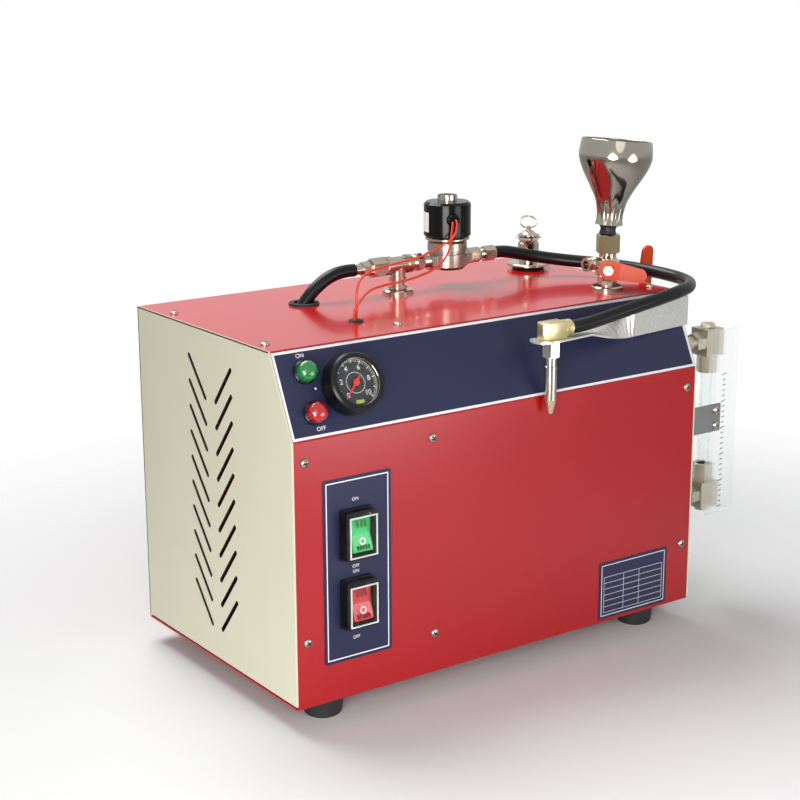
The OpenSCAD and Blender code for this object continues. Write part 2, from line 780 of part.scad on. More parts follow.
// A lamp's domed lens, seated in its bezel.
module lamp_lens(s) {
    lens_r = lamp_d / 2 - 1.3;
    on_slope(lamp_x, s) rotate_extrude() polygon(concat([[0, 2.4], [lens_r, 2.4], [lens_r, 4]],
        [for (a = [0:10:90]) [lens_r * cos(a), 4.4 + 4.2 * sin(a)]]));
}

module green_lens() color("green") at_casing() lamp_lens(lamp_ss[0]);

module red_lens() color("red") at_casing() lamp_lens(lamp_ss[1]);

module switch_bodies() color(black_plastic) at_casing() for (z = switch_zs) on_front(switch_x, z) difference() {
    union() {
        translate([0, 0, label_t]) rounded_plate(switch_w, switch_h, frame_step, 3);
        translate([0, 0, label_t]) rounded_plate(boot_inner_w - 2 * seat_gap, boot_inner_h - 2 * seat_gap,
            frame_front - label_t, 2);
        translate([0, 0, -13]) cube([switch_w - 3, switch_h - 5, 28], center = true);
        for (y = [-9, 0, 9]) translate([0, y, -31]) cube([6.3, 0.8, 9], center = true);
    }
    translate([0, 0, 8]) cube([rocker_w + 2 * window_gap, rocker_h + 2 * window_gap, 24], center = true);
    translate([0, 0, rocker_axis]) along_x()
        cylinder(d = rocker_pin_d + 2 * run_gap, h = rocker_w + 2 * window_gap + 4, center = true);
}

// A rocker on its pin, tipped with its upper end pressed in.
module rocker(z) on_front(switch_x, z) translate([0, 0, rocker_axis]) {
    face = rocker_face - rocker_axis;
    half = rocker_h / 2;
    rotate([-rocker_tip, 0, 0]) {
        difference() {
            side_profile(rocker_w) polygon([[-half, face + 0.8], [-half + 1.5, face + 1.4], [0, face - 0.8],
                [half - 1.5, face + 1.4], [half, face + 0.8], [half, 0], [half * 0.45, -3.5],
                [-half * 0.45, -3.5], [-half, 0]]);
            translate([0, -half * 0.56, face + 1]) difference() {
                cylinder(d = 6, h = 1.6, center = true);
                cylinder(d = 4.4, h = 1.6, center = true);
            }
            translate([0, half * 0.56, face + 1]) cube([1.1, 6, 1.6], center = true);
        }
        along_x() cylinder(d = rocker_pin_d, h = rocker_w + 2 * window_gap + 3, center = true);
    }
}

module pedal_rocker() color("green") at_casing() rocker(switch_zs[0]);

module power_rocker() color("red") at_casing() rocker(switch_zs[1]);

module switch_boots() color([0.9, 0.9, 0.9, 0.4]) at_casing() for (z = switch_zs) on_front(switch_x, z) {
    boot_z0 = label_t + frame_step;
    difference() {
        translate([0, 0, boot_z0]) rounded_plate(switch_w, switch_h, boot_front - frame_step, 3);
        translate([0, 0, boot_z0 - 1])
            rounded_plate(boot_inner_w, boot_inner_h, boot_front - frame_step + 1 - boot_wall, 2);
    }
}

// ---------- boiler and what lies inside ----------

// The boiler's shell as a solid, drawn in by a margin.
module boiler_solid(margin) {
    r = boiler_r - margin;
    dish_r = (boiler_r * boiler_r + dish_h * dish_h) / (2 * dish_h) - margin;
    translate([boiler_x0, 0, boiler_axis_z]) along_x() cylinder(r = r, h = boiler_l);
    for (e = [[boiler_x1, 1], [boiler_x0, -1]]) translate([e[0], 0, boiler_axis_z]) rotate([0, e[1] * 90, 0])
        intersection() {
            cylinder(r = r, h = dish_h);
            translate([0, 0, dish_h - margin - dish_r]) rotate_extrude()
                polygon(concat([[0, 0]], [for (a = [dish_from:1:90]) dish_r * [cos(a), sin(a)]]));
        }
}

module boiler_tank() color(steel) at_casing() difference() {
    union() {
        boiler_solid(0);
        for (p = risers) translate([p[0], p[1], boiler_axis_z]) cylinder(d = boss_d, h = p[2] - boiler_axis_z);
        for (p = side_pipes) {
            root_z = boiler_axis_z + sign(p[1] - boiler_axis_z) * pipe_root;
            translate([elbow_x, p[0], min(p[1], root_z)]) cylinder(d = riser_d, h = abs(p[1] - root_z));
            translate([elbow_x, p[0], p[1]]) cube(corner_w, center = true);
        }
        translate([heater_x, 0, heater_z]) along_x() cylinder(d = heater_flange_d, h = boiler_x0 - heater_x);
        translate([switch_port_x, switch_port_y, switch_port_z]) along_x()
            cylinder(d = 18, h = boiler_x0 - switch_port_x);
    }
    boiler_solid(boiler_wall);
    for (p = risers) translate([p[0], p[1], boiler_axis_z]) cylinder(d = riser_bore_d, h = boiler_r + 20);
    for (p = side_pipes) {
        translate([elbow_x, p[0], p[1]]) along_x() cylinder(d = riser_bore_d, h = corner_w);
        translate([elbow_x, p[0], min(p[1], boiler_axis_z)])
            cylinder(d = riser_bore_d, h = abs(p[1] - boiler_axis_z));
    }
    translate([heater_x - 1, 0, heater_z]) along_x() cylinder(d = heater_hole_d, h = boiler_l / 2);
    translate([switch_port_x - 1, switch_port_y, switch_port_z]) along_x() cylinder(d = 6, h = boiler_l / 2);
}

module boiler_saddles() color(steel) at_casing() for (x = saddle_xs) {
    seat_z = floor_z + sheet_t;
    top = boiler_axis_z - boiler_r * 0.7;
    half = boiler_r - 14;
    plate = 2 * sheet_t;
    difference() {
        translate([x, 0, 0]) side_profile(plate) polygon([[-half, seat_z], [half, seat_z],
            [half, top - 10], [half - 6, top], [6 - half, top], [-half, top - 10]]);
        translate([x, 0, boiler_axis_z]) along_x() cylinder(r = boiler_r + seat_gap, h = 10, center = true);
        for (y = [20 - half, half - 20]) translate([x, y, seat_z + 24]) along_x()
            cylinder(d = 12, h = 10, center = true);
    }
    translate([x, -half, seat_z]) cube([saddle_foot, 2 * half, plate]);
}

module heating_element() color(brass) at_casing() translate([heater_x, 0, heater_z]) {
    rod_d = 8;
    rod_l = boiler_l * 0.72;
    translate([-10, 0, 0]) along_x() cylinder(d = heater_flange_d, h = 10);
    for (a = [0:60:300]) rotate([a, 0, 0]) translate([-14, 0, heater_flange_d / 2 - 7]) along_x()
        cylinder(d = 9, h = 4, $fn = 6);
    for (y = [-13, 13]) {
        for (z = [-9, 9]) translate([0, y, z]) {
            along_x() cylinder(d = rod_d, h = rod_l);
            translate([-22, 0, 0]) along_x() cylinder(d = 5, h = 22);
        }
        translate([rod_l, y, 0]) rotate([90, 0, 0]) rotate([0, 0, -90])
            rotate_extrude(angle = 180) translate([9, 0]) circle(d = rod_d);
    }
}

module pressure_switch() color(black_plastic) at_casing()
    translate([switch_port_x, switch_port_y, switch_port_z]) {
        translate([-14, 0, 0]) along_x() cylinder(d = 10, h = 14);
        translate([-20, 0, 0]) along_x() cylinder(d = 26, h = 6);
        translate([-52, -17, -22]) cube([32, 34, 46]);
        translate([-36, 0, 24]) cylinder(d = 12, h = 5);
    }

// A relay in its socket, on a mounting plate.
module control_relay() color(black_plastic) at_casing() translate([relay_x, relay_y, floor_z + sheet_t]) {
    size = relay_socket;
    translate([-4, -size.y / 2 - 6, 0]) cube([size.x + 8, size.y + 12, 2]);
    translate([0, -size.y / 2, 2]) cube(size);
    translate([6, 6 - size.y / 2, 2 + size.z]) cube([size.x - 12, size.y - 12, relay_h]);
    for (x = [6, 18, size.x - 18, size.x - 6], y = [3 - size.y / 2, size.y / 2 - 3])
        translate([x, y, 2 + size.z]) cylinder(d = 5, h = 2);
}

// ---------- pipework on the casing ----------

module riser_pipes() color(nickel) at_casing() {
    tops = [run_z - tee_drop, top_z, top_z + washer_t + 1];
    for (i = [0:2]) translate([risers[i][0], risers[i][1], risers[i][2]]) difference() {
        cylinder(d = riser_d, h = tops[i] - risers[i][2]);
        translate([0, 0, -1]) cylinder(d = riser_bore_d, h = tops[i] - risers[i][2] + 2);
    }
    pipe_x0 = elbow_x + corner_w / 2;
    for (p = side_pipes) translate([pipe_x0, p[0], p[1]]) along_x() difference() {
        cylinder(d = riser_d, h = right_x + side_washer_t - pipe_x0);
        translate([0, 0, -1]) cylinder(d = riser_bore_d, h = right_x - pipe_x0 + 9);
    }
}

// A washer on z = 0 round a pipe of the given diameter.
module washer(d, pipe_d, t) difference() {
    rotate_extrude() polygon([[0, 0], [d / 2, 0], [d / 2, t - 0.8], [d / 2 - 1.2, t], [0, t]]);
    translate([0, 0, -1]) cylinder(d = pipe_d + 2 * seat_gap, h = t + 2);
}

module flange_washers() color(nickel) at_casing() {
    for (i = [0, 2]) translate([risers[i][0], risers[i][1], top_z]) washer(washer_d, riser_d, washer_t);
    for (p = side_pipes) translate([right_x, p[0], p[1]]) along_x()
        washer(side_washer_d, riser_d, side_washer_t);
}

module outlet_tee() color(nickel) at_casing() {
    difference() {
        union() {
            translate([tee_x0, outlet_y, run_z]) along_x() cylinder(d = tee_d - 2, h = tee_x1 - tee_x0);
            for (x = [tee_x0, tee_x1 - 5]) translate([x, outlet_y, run_z]) along_x() cylinder(d = tee_d, h = 5);
            translate([outlet_x, outlet_y, run_z - tee_drop]) cylinder(d = tee_d - 2.5, h = tee_drop);
            translate([outlet_x, outlet_y, run_z - tee_drop]) cylinder(d = tee_d - 1, h = 4);
        }
        translate([tee_x0 - 1, outlet_y, run_z]) along_x() cylinder(d = run_bore_d, h = 40);
        translate([outlet_x, outlet_y, run_z - tee_drop - 1]) cylinder(d = riser_bore_d, h = tee_drop);
    }
}

module pipe_nipples() color(nickel) at_casing() translate([0, outlet_y, run_z]) {
    // Barbed fitting of the gauge hose.
    difference() {
        union() {
            translate([barb_x0, 0, 0]) along_x() cylinder(d = hose_d - 2, h = barb_hex_x0 - barb_x0);
            translate([barb_hex_x0, 0, 0]) along_x() hex_bar(11, nut_gap_x0 - barb_hex_x0);
            translate([nut_gap_x0, 0, 0]) along_x() cylinder(d = nipple_d, h = tee_x0 - nut_gap_x0);
        }
        translate([barb_x0 - 1, 0, 0]) along_x() cylinder(d = 5, h = 60);
    }
    // Threaded nipple between the tee and the steam valve.
    difference() {
        union() {
            translate([tee_x1, 0, 0]) along_x() cylinder(d = nipple_d, h = valve_x - port_reach - tee_x1);
            translate([tee_x1 + 5, 0, 0]) along_x() hex_bar(nipple_d + 1.2, 7);
        }
        translate([tee_x1 - 1, 0, 0]) along_x() cylinder(d = run_bore_d, h = 60);
    }
    // Nipple behind the steam valve, up to the steam hose.
    translate([valve_x + port_reach, 0, 0]) along_x() difference() {
        cylinder(d = out_nipple_d, h = steam_start - valve_x - port_reach);
        translate([0, 0, -1]) cylinder(d = 5, h = 90);
    }
}

// A hex nut along X round a pipe.
module pipe_nut(x, af, h, pipe_d) translate([x, outlet_y, run_z]) along_x() difference() {
    hex_bar(af, h);
    translate([0, 0, -1]) cylinder(d = pipe_d + 2 * seat_gap, h = h + 2);
}

module pipe_nuts() color(nickel) at_casing() {
    pipe_nut(nut_gap_x0, 14.5, tee_x0 - nut_gap_x0, nipple_d);
    pipe_nut(valve_x + port_reach, out_nipple_d + 4, 13, out_nipple_d);
    pipe_nut(steam_start - 12, out_nipple_d + 4, 12, out_nipple_d);
    // Slotted nut on top of the coil.
    translate([valve_x, outlet_y, coil_z1]) difference() {
        cylinder(d = 17, h = 5.6);
        translate([0, 0, -1]) cylinder(d = core_d + 2 * seat_gap, h = 5);
        translate([-10, -0.8, 4]) cube([20, 1.6, 3]);
    }
}

module solenoid_body() color(nickel) at_casing() translate([valve_x, outlet_y, 0]) difference() {
    union() {
        translate([0, 0, valve_z0]) rotate_extrude() polygon([[0, 0], [valve_d / 2 - 2.5, 0],
            [valve_d / 2, 2.5], [valve_d / 2, valve_h * 0.55], [valve_d / 2 - 0.8, valve_h * 0.57],
            [valve_d / 2 - 0.8, valve_h * 0.63], [valve_d / 2, valve_h * 0.65],
            [valve_d / 2, valve_h - 1.5], [valve_d / 2 - 1.5, valve_h], [0, valve_h]]);
        translate([-port_reach, 0, run_z]) along_x() hex_bar(14.5, 2 * port_reach);
        translate([0, 0, valve_z1 - 1]) cylinder(d = core_d + 3, h = coil_z0 - valve_z1 + 1);
        translate([0, 0, valve_z1 - 1]) cylinder(d = core_d, h = coil_z1 + 4 - valve_z1);
    }
    for (s = [-1, 1]) translate([s * (port_reach + 1), 0, run_z]) rotate([0, -s * 90, 0])
        cylinder(d = run_bore_d, h = port_reach - 2);
    translate([0, 0, run_z - 4]) cylinder(d = armature_d - 3, h = 8);
    translate([0, 0, run_z + 2]) cylinder(d = armature_d - 4 + 2 * run_gap, h = plunger_l + plunger_stroke + 3);
}

module solenoid_plunger() color(steel) at_casing() translate([valve_x, outlet_y, run_z + 3]) {
    cylinder(d = armature_d - 4, h = plunger_l);
    translate([0, 0, -3]) cylinder(d = run_bore_d, h = 3);
}

module solenoid_coil() color(black_plastic) at_casing() translate([valve_x, outlet_y, coil_z0]) {
    difference() {
        rotate_extrude() polygon([[core_d / 2 + seat_gap, 0], [coil_d / 2 - 1.5, 0], [coil_d / 2, 1.5],
            [coil_d / 2, coil_h - 2], [coil_d / 2 - 2, coil_h], [core_d / 2 + seat_gap, coil_h]]);
    }
    rotate(-coil_lead_turn) translate([0, -coil_d / 2 + 1, coil_lead_z - coil_z0]) rotate([90, 0, 0])
        cylinder(d = coil_lead_d, h = coil_lead_out + 1);
}

module grommets() color(black_plastic) at_casing() {
    translate([gauge_hose_hole[0], gauge_hose_hole[1], top_z - sheet_t]) difference() {
        rotate_extrude() polygon([[0, -2], [hose_d / 2 + 6.5, -2], [hose_d / 2 + 6.5, 0],
            [hose_d / 2 + 5.2, 0], [hose_d / 2 + 5.2, sheet_t], [hose_d / 2 + 7.5, sheet_t],
            [hose_d / 2 + 7, sheet_t + 2], [0, sheet_t + 2]]);
        translate([0, 0, -4]) cylinder(d = hose_d + 6.4, h = 12);
    }
    translate([wire_hole[0], wire_hole[1], top_z - sheet_t]) rotate_extrude() polygon([[0, -2], [5.4, -2],
        [5.4, 0], [4.7, 0], [4.7, sheet_t], [6.5, sheet_t], [5, sheet_t + 2], [0, sheet_t + 2]]);
}

// ---------- safety valve ----------

module safety_valve_body() color(nickel) at_casing() translate([safety_x, safety_y, top_z]) difference() {
    disc_z = safety_boss_h + safety_disc_t;
    r = safety_d / 2;
    rotate_extrude() polygon([[0, 0], [11.5, 0], [11.5, safety_boss_h], [safety_disc_d / 2, safety_boss_h],
        [safety_disc_d / 2, disc_z - 0.6], [safety_disc_d / 2 - 1, disc_z], [r - 1, disc_z],
        [r - 1, disc_z + 3], [r, disc_z + 3.6], [r, safety_h - 5], [r - 1.2, safety_h - 4], [r - 1.2, safety_h - 2.5],
        [r, safety_h - 1.8], [r - 0.8, safety_h], [0, safety_h]]);
    translate([0, 0, -1]) cylinder(d = riser_bore_d, h = safety_boss_h + 8);
    translate([0, 0, safety_boss_h + 6]) cylinder(d = safety_stem_d + 2 * run_gap, h = safety_h);
    for (a = [0:90:270]) rotate([0, 0, a + 45]) translate([0, 0, disc_z + 9]) rotate([90, 0, 0])
        translate([0, 0, safety_stem_d]) cylinder(d = 3, h = safety_d);
}

module safety_valve_stem() color(nickel) at_casing() translate([safety_x, safety_y, 0]) {
    stem_z0 = top_z + safety_boss_h + 9;
    cap_r = safety_d / 2 - 1.4;
    translate([0, 0, stem_z0]) cylinder(d = safety_stem_d, h = safety_cap_z - stem_z0 + 1);
    translate([0, 0, safety_cap_z]) rotate_extrude() polygon(concat([[0, 0], [cap_r, 0]],
        [for (a = [0:15:90]) [cap_r * cos(a), 1.2 + (safety_dome_h - 1.2) * sin(a)]]));
    difference() {
        union() {
            translate([0, 0, knob_z]) sphere(knob_r);
            translate([0, 0, safety_cap_z + safety_dome_h - 1]) cylinder(d = 3.6, h = 2);
        }
        translate([0, 0, knob_z]) rotate([0, 0, ring_turn]) along_x()
            cylinder(d = eye_d, h = 3 * knob_r, center = true);
    }
}

module pull_ring() color(nickel) at_casing() translate([safety_x, safety_y, knob_z])
    rotate([0, 0, ring_turn]) rotate([90 - ring_lean, 0, 0]) translate([0, ring_d / 2, 0])
        rotate_extrude() translate([ring_d / 2, 0]) circle(d = ring_wire);

// ---------- ball valves, filling funnel ----------

// A ball valve's body about its ball's centre, pipe along z, stem towards -Y.
module ball_valve_body(d, z0, z1, af, neck_d, neck_z) difference() {
    union() {
        translate([0, 0, z0]) hex_bar(af, 6.5);
        rotate_extrude() polygon([[0, z0 + 6], [af / 2 - 1, z0 + 6], [d / 2, z0 + 9], [d / 2, z1 - 3],
            [d / 2 - 2.5, z1], [0, z1]]);
        translate([0, 0, z1 - 1]) cylinder(d = neck_d, h = neck_z - z1 + 1);
        rotate([90, 0, 0]) cylinder(d = stem_d + 5, h = lever_off - 4);
        rotate([90, 0, 0]) cylinder(d = stem_d + 4, h = lever_off - ball_gap - 0.2);
    }
    translate([0, 0, z0 - 1]) cylinder(d = ball_bore_d, h = neck_z - z0 + 2);
    sphere(d = ball_d + 2 * ball_gap);
    rotate([90, 0, 0]) cylinder(d = stem_d + 2 * run_gap, h = lever_off + 1);
}

// A ball on its stem, bore along x, with the lever's nut; stem towards -Y.
module ball_and_stem() {
    difference() {
        sphere(d = ball_d);
        along_x() cylinder(d = ball_bore_d, h = 2 * ball_d, center = true);
    }
    stem_z = ball_d / 2 - 1.6;
    rotate([90, 0, 0]) {
        translate([0, 0, stem_z]) cylinder(d = stem_d, h = stem_out - stem_z);
        translate([0, 0, lever_off + lever_t + 0.1]) hex_bar(8, 3.4, 0.5);
    }
}

// A lever with its grip: the outline in XZ about the stem, cranked away from the valve towards -Y.
module valve_lever(l, crank) {
    knee = 10;
    out = (l - knee) * tan(crank);
    difference() {
        intersection() {
            rotate([90, 0, 0]) linear_extrude(lever_off + lever_t + out + 1)
                polygon(concat([for (a = [90:15:270]) lever_w / 2 * [cos(a), sin(a)]],
                    [for (a = [-90:15:90]) [l - lever_tip_w / 2, 0] + lever_tip_w / 2 * [cos(a), sin(a)]]));
            linear_extrude(2 * lever_w, center = true) polygon([[-lever_w, -lever_off], [knee, -lever_off],
                [l + 1, -lever_off - out], [l + 1, -lever_off - out - lever_t],
                [knee, -lever_off - lever_t], [-lever_w, -lever_off - lever_t]]);
        }
        rotate([90, 0, 0]) cylinder(d = stem_d + 2 * run_gap, h = 2 * lever_off);
    }
}

// Puts a filling-valve piece at its ball's centre.
module at_filler() at_casing() translate([filler_x, filler_y, filler_z]) children();

module filler_valve_body() color(nickel) at_filler() difference() {
    rotate([0, 0, filler_turn]) ball_valve_body(filler_body_d, filler_bottom, filler_body_z1 - filler_z,
        filler_hex_af, neck_thread_d, neck_top - filler_z);
    translate([0, 0, vent_z - filler_z]) rotate([0, -90, 0]) translate([0, 0, filler_body_d / 2 - vent_deep])
        cylinder(d = vent_d - 3 + 2 * seat_gap, h = 20);
}

module filler_vent() color(nickel) at_filler() translate([0, 0, vent_z - filler_z]) rotate([0, -90, 0]) {
    face = filler_body_d / 2 + 3.2;
    difference() {
        union() {
            translate([0, 0, filler_body_d / 2 - vent_deep]) cylinder(d = vent_d - 3, h = vent_deep + 4);
            translate([0, 0, face]) hex_bar(vent_d - 2, 4);
            translate([0, 0, face + 4]) cylinder(d = vent_d - 2, h = vent_l - face - 8);
            translate([0, 0, vent_l - 4]) cylinder(d = vent_d, h = 4);
        }
        translate([0, 0, face + 2]) cylinder(d = vent_d - 5, h = vent_l);
    }
}

module filler_ball() color(brass) at_filler() rotate([0, 0, filler_turn]) ball_and_stem();

module filler_lever() color(orange_grip) at_filler() rotate([0, 0, filler_turn]) rotate([0, lever_droop, 0])
    valve_lever(filler_lever_l, grip_crank);

module funnel_nut() color(nickel) at_casing() translate([filler_x, filler_y, funnel_nut_z]) difference() {
    hex_bar(funnel_nut_af, funnel_nut_h, 1.4);
    translate([0, 0, -1]) cylinder(d = neck_thread_d + 2 * seat_gap, h = neck_top - funnel_nut_z + 1);
    cylinder(d = ball_bore_d, h = funnel_nut_h + 1);
}

// Turns a piece into the lean of the funnel, about its foot.
module leaning() translate([filler_x, filler_y, funnel_z]) rotate([0, funnel_lean, 0]) children();

module funnel_seal() color(black_plastic) at_casing() difference() {
    union() {
        translate([filler_x, filler_y, seal_z]) cylinder(d = seal_d, h = seal_h);
        leaning() translate([0, 0, -1]) cylinder(d = seal_d, h = 2);
        leaning() cylinder(d = neck_d - 2 * funnel_t - 0.2, h = plug_h);
    }
    translate([filler_x, filler_y, seal_z - 1]) cylinder(d = ball_bore_d, h = seal_h + 1);
    leaning() translate([0, 0, -2]) cylinder(d = ball_bore_d, h = plug_h + 4);
}

// Radius of the funnel's outside at a height: neck, flare, widest line, lip.
function funnel_r(z) =
    let (flare = neck_h, wide = funnel_h * 0.78, neck_r = neck_d / 2, wide_r = funnel_d / 2)
    z < flare ? neck_r
    : z < wide ? let (t = (z - flare) / (wide - flare)) neck_r + (wide_r - neck_r) * (0.35 * t
        + 0.65 * (3 * t * t - 2 * t * t * t))
    : wide_r - 2 * pow((z - wide) / (funnel_h - wide), 2);

module funnel() color(nickel) at_casing() leaning() {
    zs = [for (z = [0:2.5:funnel_h]) z];
    rotate_extrude() polygon(concat([for (z = zs) [funnel_r(z), z]],
        [for (i = [len(zs) - 1:-1:0]) [funnel_r(zs[i]) - funnel_t, zs[i]]]));
}

module side_valve_body() color(nickel) at_side_valve()
    ball_valve_body(side_body_d, side_bottom, 10, 16, 12, 16);

// Puts a side-valve piece at its ball's centre, pipe along X.
module at_side_valve() at_casing() translate([side_valve_x, side_valve_y, side_valve_z]) along_x() children();

module side_ball() color(brass) at_side_valve() ball_and_stem();

module side_lever() color(orange_grip) at_side_valve() rotate([0, 180, 0]) valve_lever(side_lever_l, 6);

// ---------- level gauge ----------

module level_fittings() color(nickel) at_casing() for (e = [[level_zs[0], -1], [level_zs[1], 1]]) {
    shank_x0 = right_x + side_washer_t;
    translate([level_x, level_y, e[0]]) mirror([0, 0, e[1] > 0 ? 1 : 0]) difference() {
        union() {
            translate([-block_w / 2, -block_w / 2, -level_block_h / 2]) cube([block_w, block_w, level_block_h]);
            translate([0, 0, -level_block_h / 2 - level_nut_h]) hex_bar(level_nut_af, level_nut_h);
            translate([shank_x0 - level_x, 0, 0]) along_x()
                cylinder(d = level_shank_d, h = level_reach - block_w / 2);
            translate([-block_w / 2 - 9, 0, 0]) along_x() hex_bar(16, 9);
            translate([0, 0, level_block_h / 2]) hex_bar(11, 4);
        }
        translate([0, 0, -level_block_h / 2 - level_nut_h - 1])
            cylinder(d = glass_d + 2 * seat_gap, h = level_nut_h + 1 + glass_in);
        translate([0, 0, -level_block_h / 2 - 2]) cylinder(d = 6, h = level_block_h / 2 + 2);
        translate([shank_x0 - level_x - 1, 0, 0]) along_x() cylinder(d = 6, h = level_reach);
    }
}

module level_glass() color([0.85, 0.92, 0.92, 0.4]) at_casing() translate([level_x, level_y, glass_z0])
    difference() {
        cylinder(d = glass_d, h = glass_z1 - glass_z0);
        translate([0, 0, -1]) cylinder(d = glass_d - 2 * glass_wall, h = glass_z1 - glass_z0 + 2);
    }

module level_guard() color([0.9, 0.95, 0.95, 0.4]) at_casing() difference() {
    translate([guard_x - guard_side, level_y - guard_w / 2, guard_z0])
        cube([guard_side, guard_w, guard_z1 - guard_z0]);
    translate([guard_x - guard_side - 1, level_y - guard_w / 2 + guard_t, guard_z0 - 1])
        cube([guard_side + 1 - guard_t, guard_w - 2 * guard_t, guard_z1 - guard_z0 + 2]);
    for (p = guard_screw_at) translate([p[0], level_y, p[1]]) rotate([90, 0, 0])
        cylinder(d = screw_shank_d + 2 * seat_gap, h = 2 * guard_w, center = true);
}

module guard_brackets() color(steel) at_casing() translate([0, level_y, bracket_z]) for (s = [-1, 1]) {
    mirror([0, s > 0 ? 1 : 0, 0]) {
        arm_l = guard_screw_at[0][0] + 6 - right_x;
        translate([right_x, -guard_w / 2 - bracket_t, -bracket_h / 2]) cube([arm_l, bracket_t, bracket_h]);
        translate([right_x, -guard_w / 2, -bracket_h / 2]) cube([bracket_t, 12, bracket_h]);
        for (p = guard_screw_at) translate([p[0], -guard_w / 2 - bracket_t, p[1] - bracket_z])
            rotate([90, 0, 0]) pan_screw(6, screw_shank_d, bracket_t + guard_t);
        for (z = [-7, 7]) translate([right_x + bracket_t, -guard_w / 2 + 7, z]) along_x()
            pan_screw(6, 0.1, 0);
    }
}

// ---------- nozzle ----------

// The four corners of a strip's section: heading and turn about it in degrees, half of its width.
function strip_section(at, heading, turn, half) =
    let (along = [cos(heading), sin(heading), 0],
        across = [sin(heading) * sin(turn), -cos(heading) * sin(turn), cos(turn)],
        through = cross(along, across) * strip_t / 2)
    [at + half * across + through, at - half * across + through,
        at - half * across - through, at + half * across - through];

module nozzle_bracket() color(steel) at_casing() {
    bend = [strip_x1 - strip_bend, strip_y1 + strip_bend, strip_mid_z];
    to_nozzle = [nozzle_x, nozzle_front_y, strip_mid_z] - bend;
    heading = atan2(to_nozzle.y, to_nozzle.x) - 90 + acos(strip_bend / norm(to_nozzle));
    reach = sqrt(to_nozzle * to_nozzle - strip_bend * strip_bend);
    start = bend + strip_bend * [-sin(heading), cos(heading), 0];
    ahead = [cos(heading), sin(heading), 0];
    half = strip_w / 2;
    tab_half = tab_w / 2;
    foot = [strip_section([strip_x1, strip_y1 + strip_foot, strip_mid_z], -90, 0, half)];
    corner = [for (k = [0:4])
        let (h = -90 + (heading + 90) * k / 4)
        strip_section(bend + strip_bend * [-sin(h), cos(h), 0], h, 0, half)];
    twisted = [for (k = [0:twist_steps])
        let (f = k / twist_steps, s = reach * (twist_from + (twist_to - twist_from) * f))
        strip_section(start + s * ahead, heading, 90 * f, half + (tab_half - half) * f)];
    tab = [for (a = [0:15:75])
        strip_section(start + (reach + tab_half * sin(a)) * ahead, heading, 90, tab_half * cos(a))];
    difference() {
        skin([for (ring = concat(foot, corner, twisted, tab)) each ring], 4);
        translate([nozzle_x, nozzle_front_y, strip_mid_z]) hole(stud_d);
    }
    for (z = [-5, 5]) translate([right_x + strip_t, strip_y1 + strip_foot - 8, strip_mid_z + z]) along_x()
        pan_screw(6, 0.1, 0);
}

module nozzle_elbow() color(brass) at_casing() translate([nozzle_x, nozzle_front_y, elbow_z]) difference() {
    union() {
        translate([-11, -elbow_w / 2, -elbow_w / 2]) cube([22, elbow_w, elbow_w]);
        translate([11, 0, 0]) along_x() hex_bar(elbow_w - 2, 5);
        translate([16, 0, 0]) along_x() cylinder(d = hose_d + 1.5, h = ferrule_out - 16);
        translate([0, 0, -elbow_w / 2 - stud_l]) cylinder(d = stud_d, h = stud_l);
    }
    along_x() cylinder(d = 4, h = 40);
    translate([0, 0, -elbow_w / 2 - stud_l - 1]) cylinder(d = 4, h = elbow_w / 2 + stud_l + 1);
}

module nozzle_tip() color(nickel) at_casing() translate([nozzle_x, nozzle_front_y, tab_z - strip_t])
    difference() {
        nut_h = tip_nut_h;
        tube_r = tip_tube_d / 2;
        union() {
            translate([0, 0, -nut_h]) hex_bar(tip_nut_af, nut_h);
            rotate_extrude() polygon([[0, -nut_h + 1], [tube_r + 0.35, -nut_h + 1], [tube_r + 0.35, -nut_h - 8],
                [tube_r, -nut_h - 9], [tube_r, -tip_l + 12], [tube_r - 1, -tip_l + 11], [2, -tip_l], [0, -tip_l]]);
        }
        translate([0, 0, -nut_h]) cylinder(d = stud_d + 2 * seat_gap, h = nut_h + 1);
        translate([0, 0, -tip_l - 1]) cylinder(d = tip_bore_d, h = tip_l);
    }

// ---------- back ----------

module rear_connectors() color(black_plastic) at_casing() {
    on_back(gland_x, gland_z) difference() {
        union() {
            hex_bar(22, 6);
            translate([0, 0, 6]) rotate_extrude() polygon([[0, 0], [9.5, 0], [9.5, 5], [7, reach_back - 6],
                [0, reach_back - 6]]);
            translate([0, 0, -10]) cylinder(d = gland_thread_d, h = 10);
        }
        translate([0, 0, -11]) cylinder(d = 8, h = 40);
    }
    on_back(pedal_x, gland_z) difference() {
        union() {
            cylinder(d = 26, h = 3);
            cylinder(d = 21, h = 6);
            translate([0, 0, -14]) cylinder(d = pedal_thread_d, h = 14);
        }
        translate([0, 0, 1]) cylinder(d = 13, h = 6);
    }
}

// ---------- hoses and wires ----------

module steam_hose() color(black_plastic) at_casing() swept_tube(steam_route, hose_d, 10);

module gauge_hose() color(black_plastic) at_casing() swept_tube(gauge_route, hose_d, 10);

module coil_wires() color(red_paint) at_casing() for (r = wire_routes) swept_tube(r, wire_d, 8);

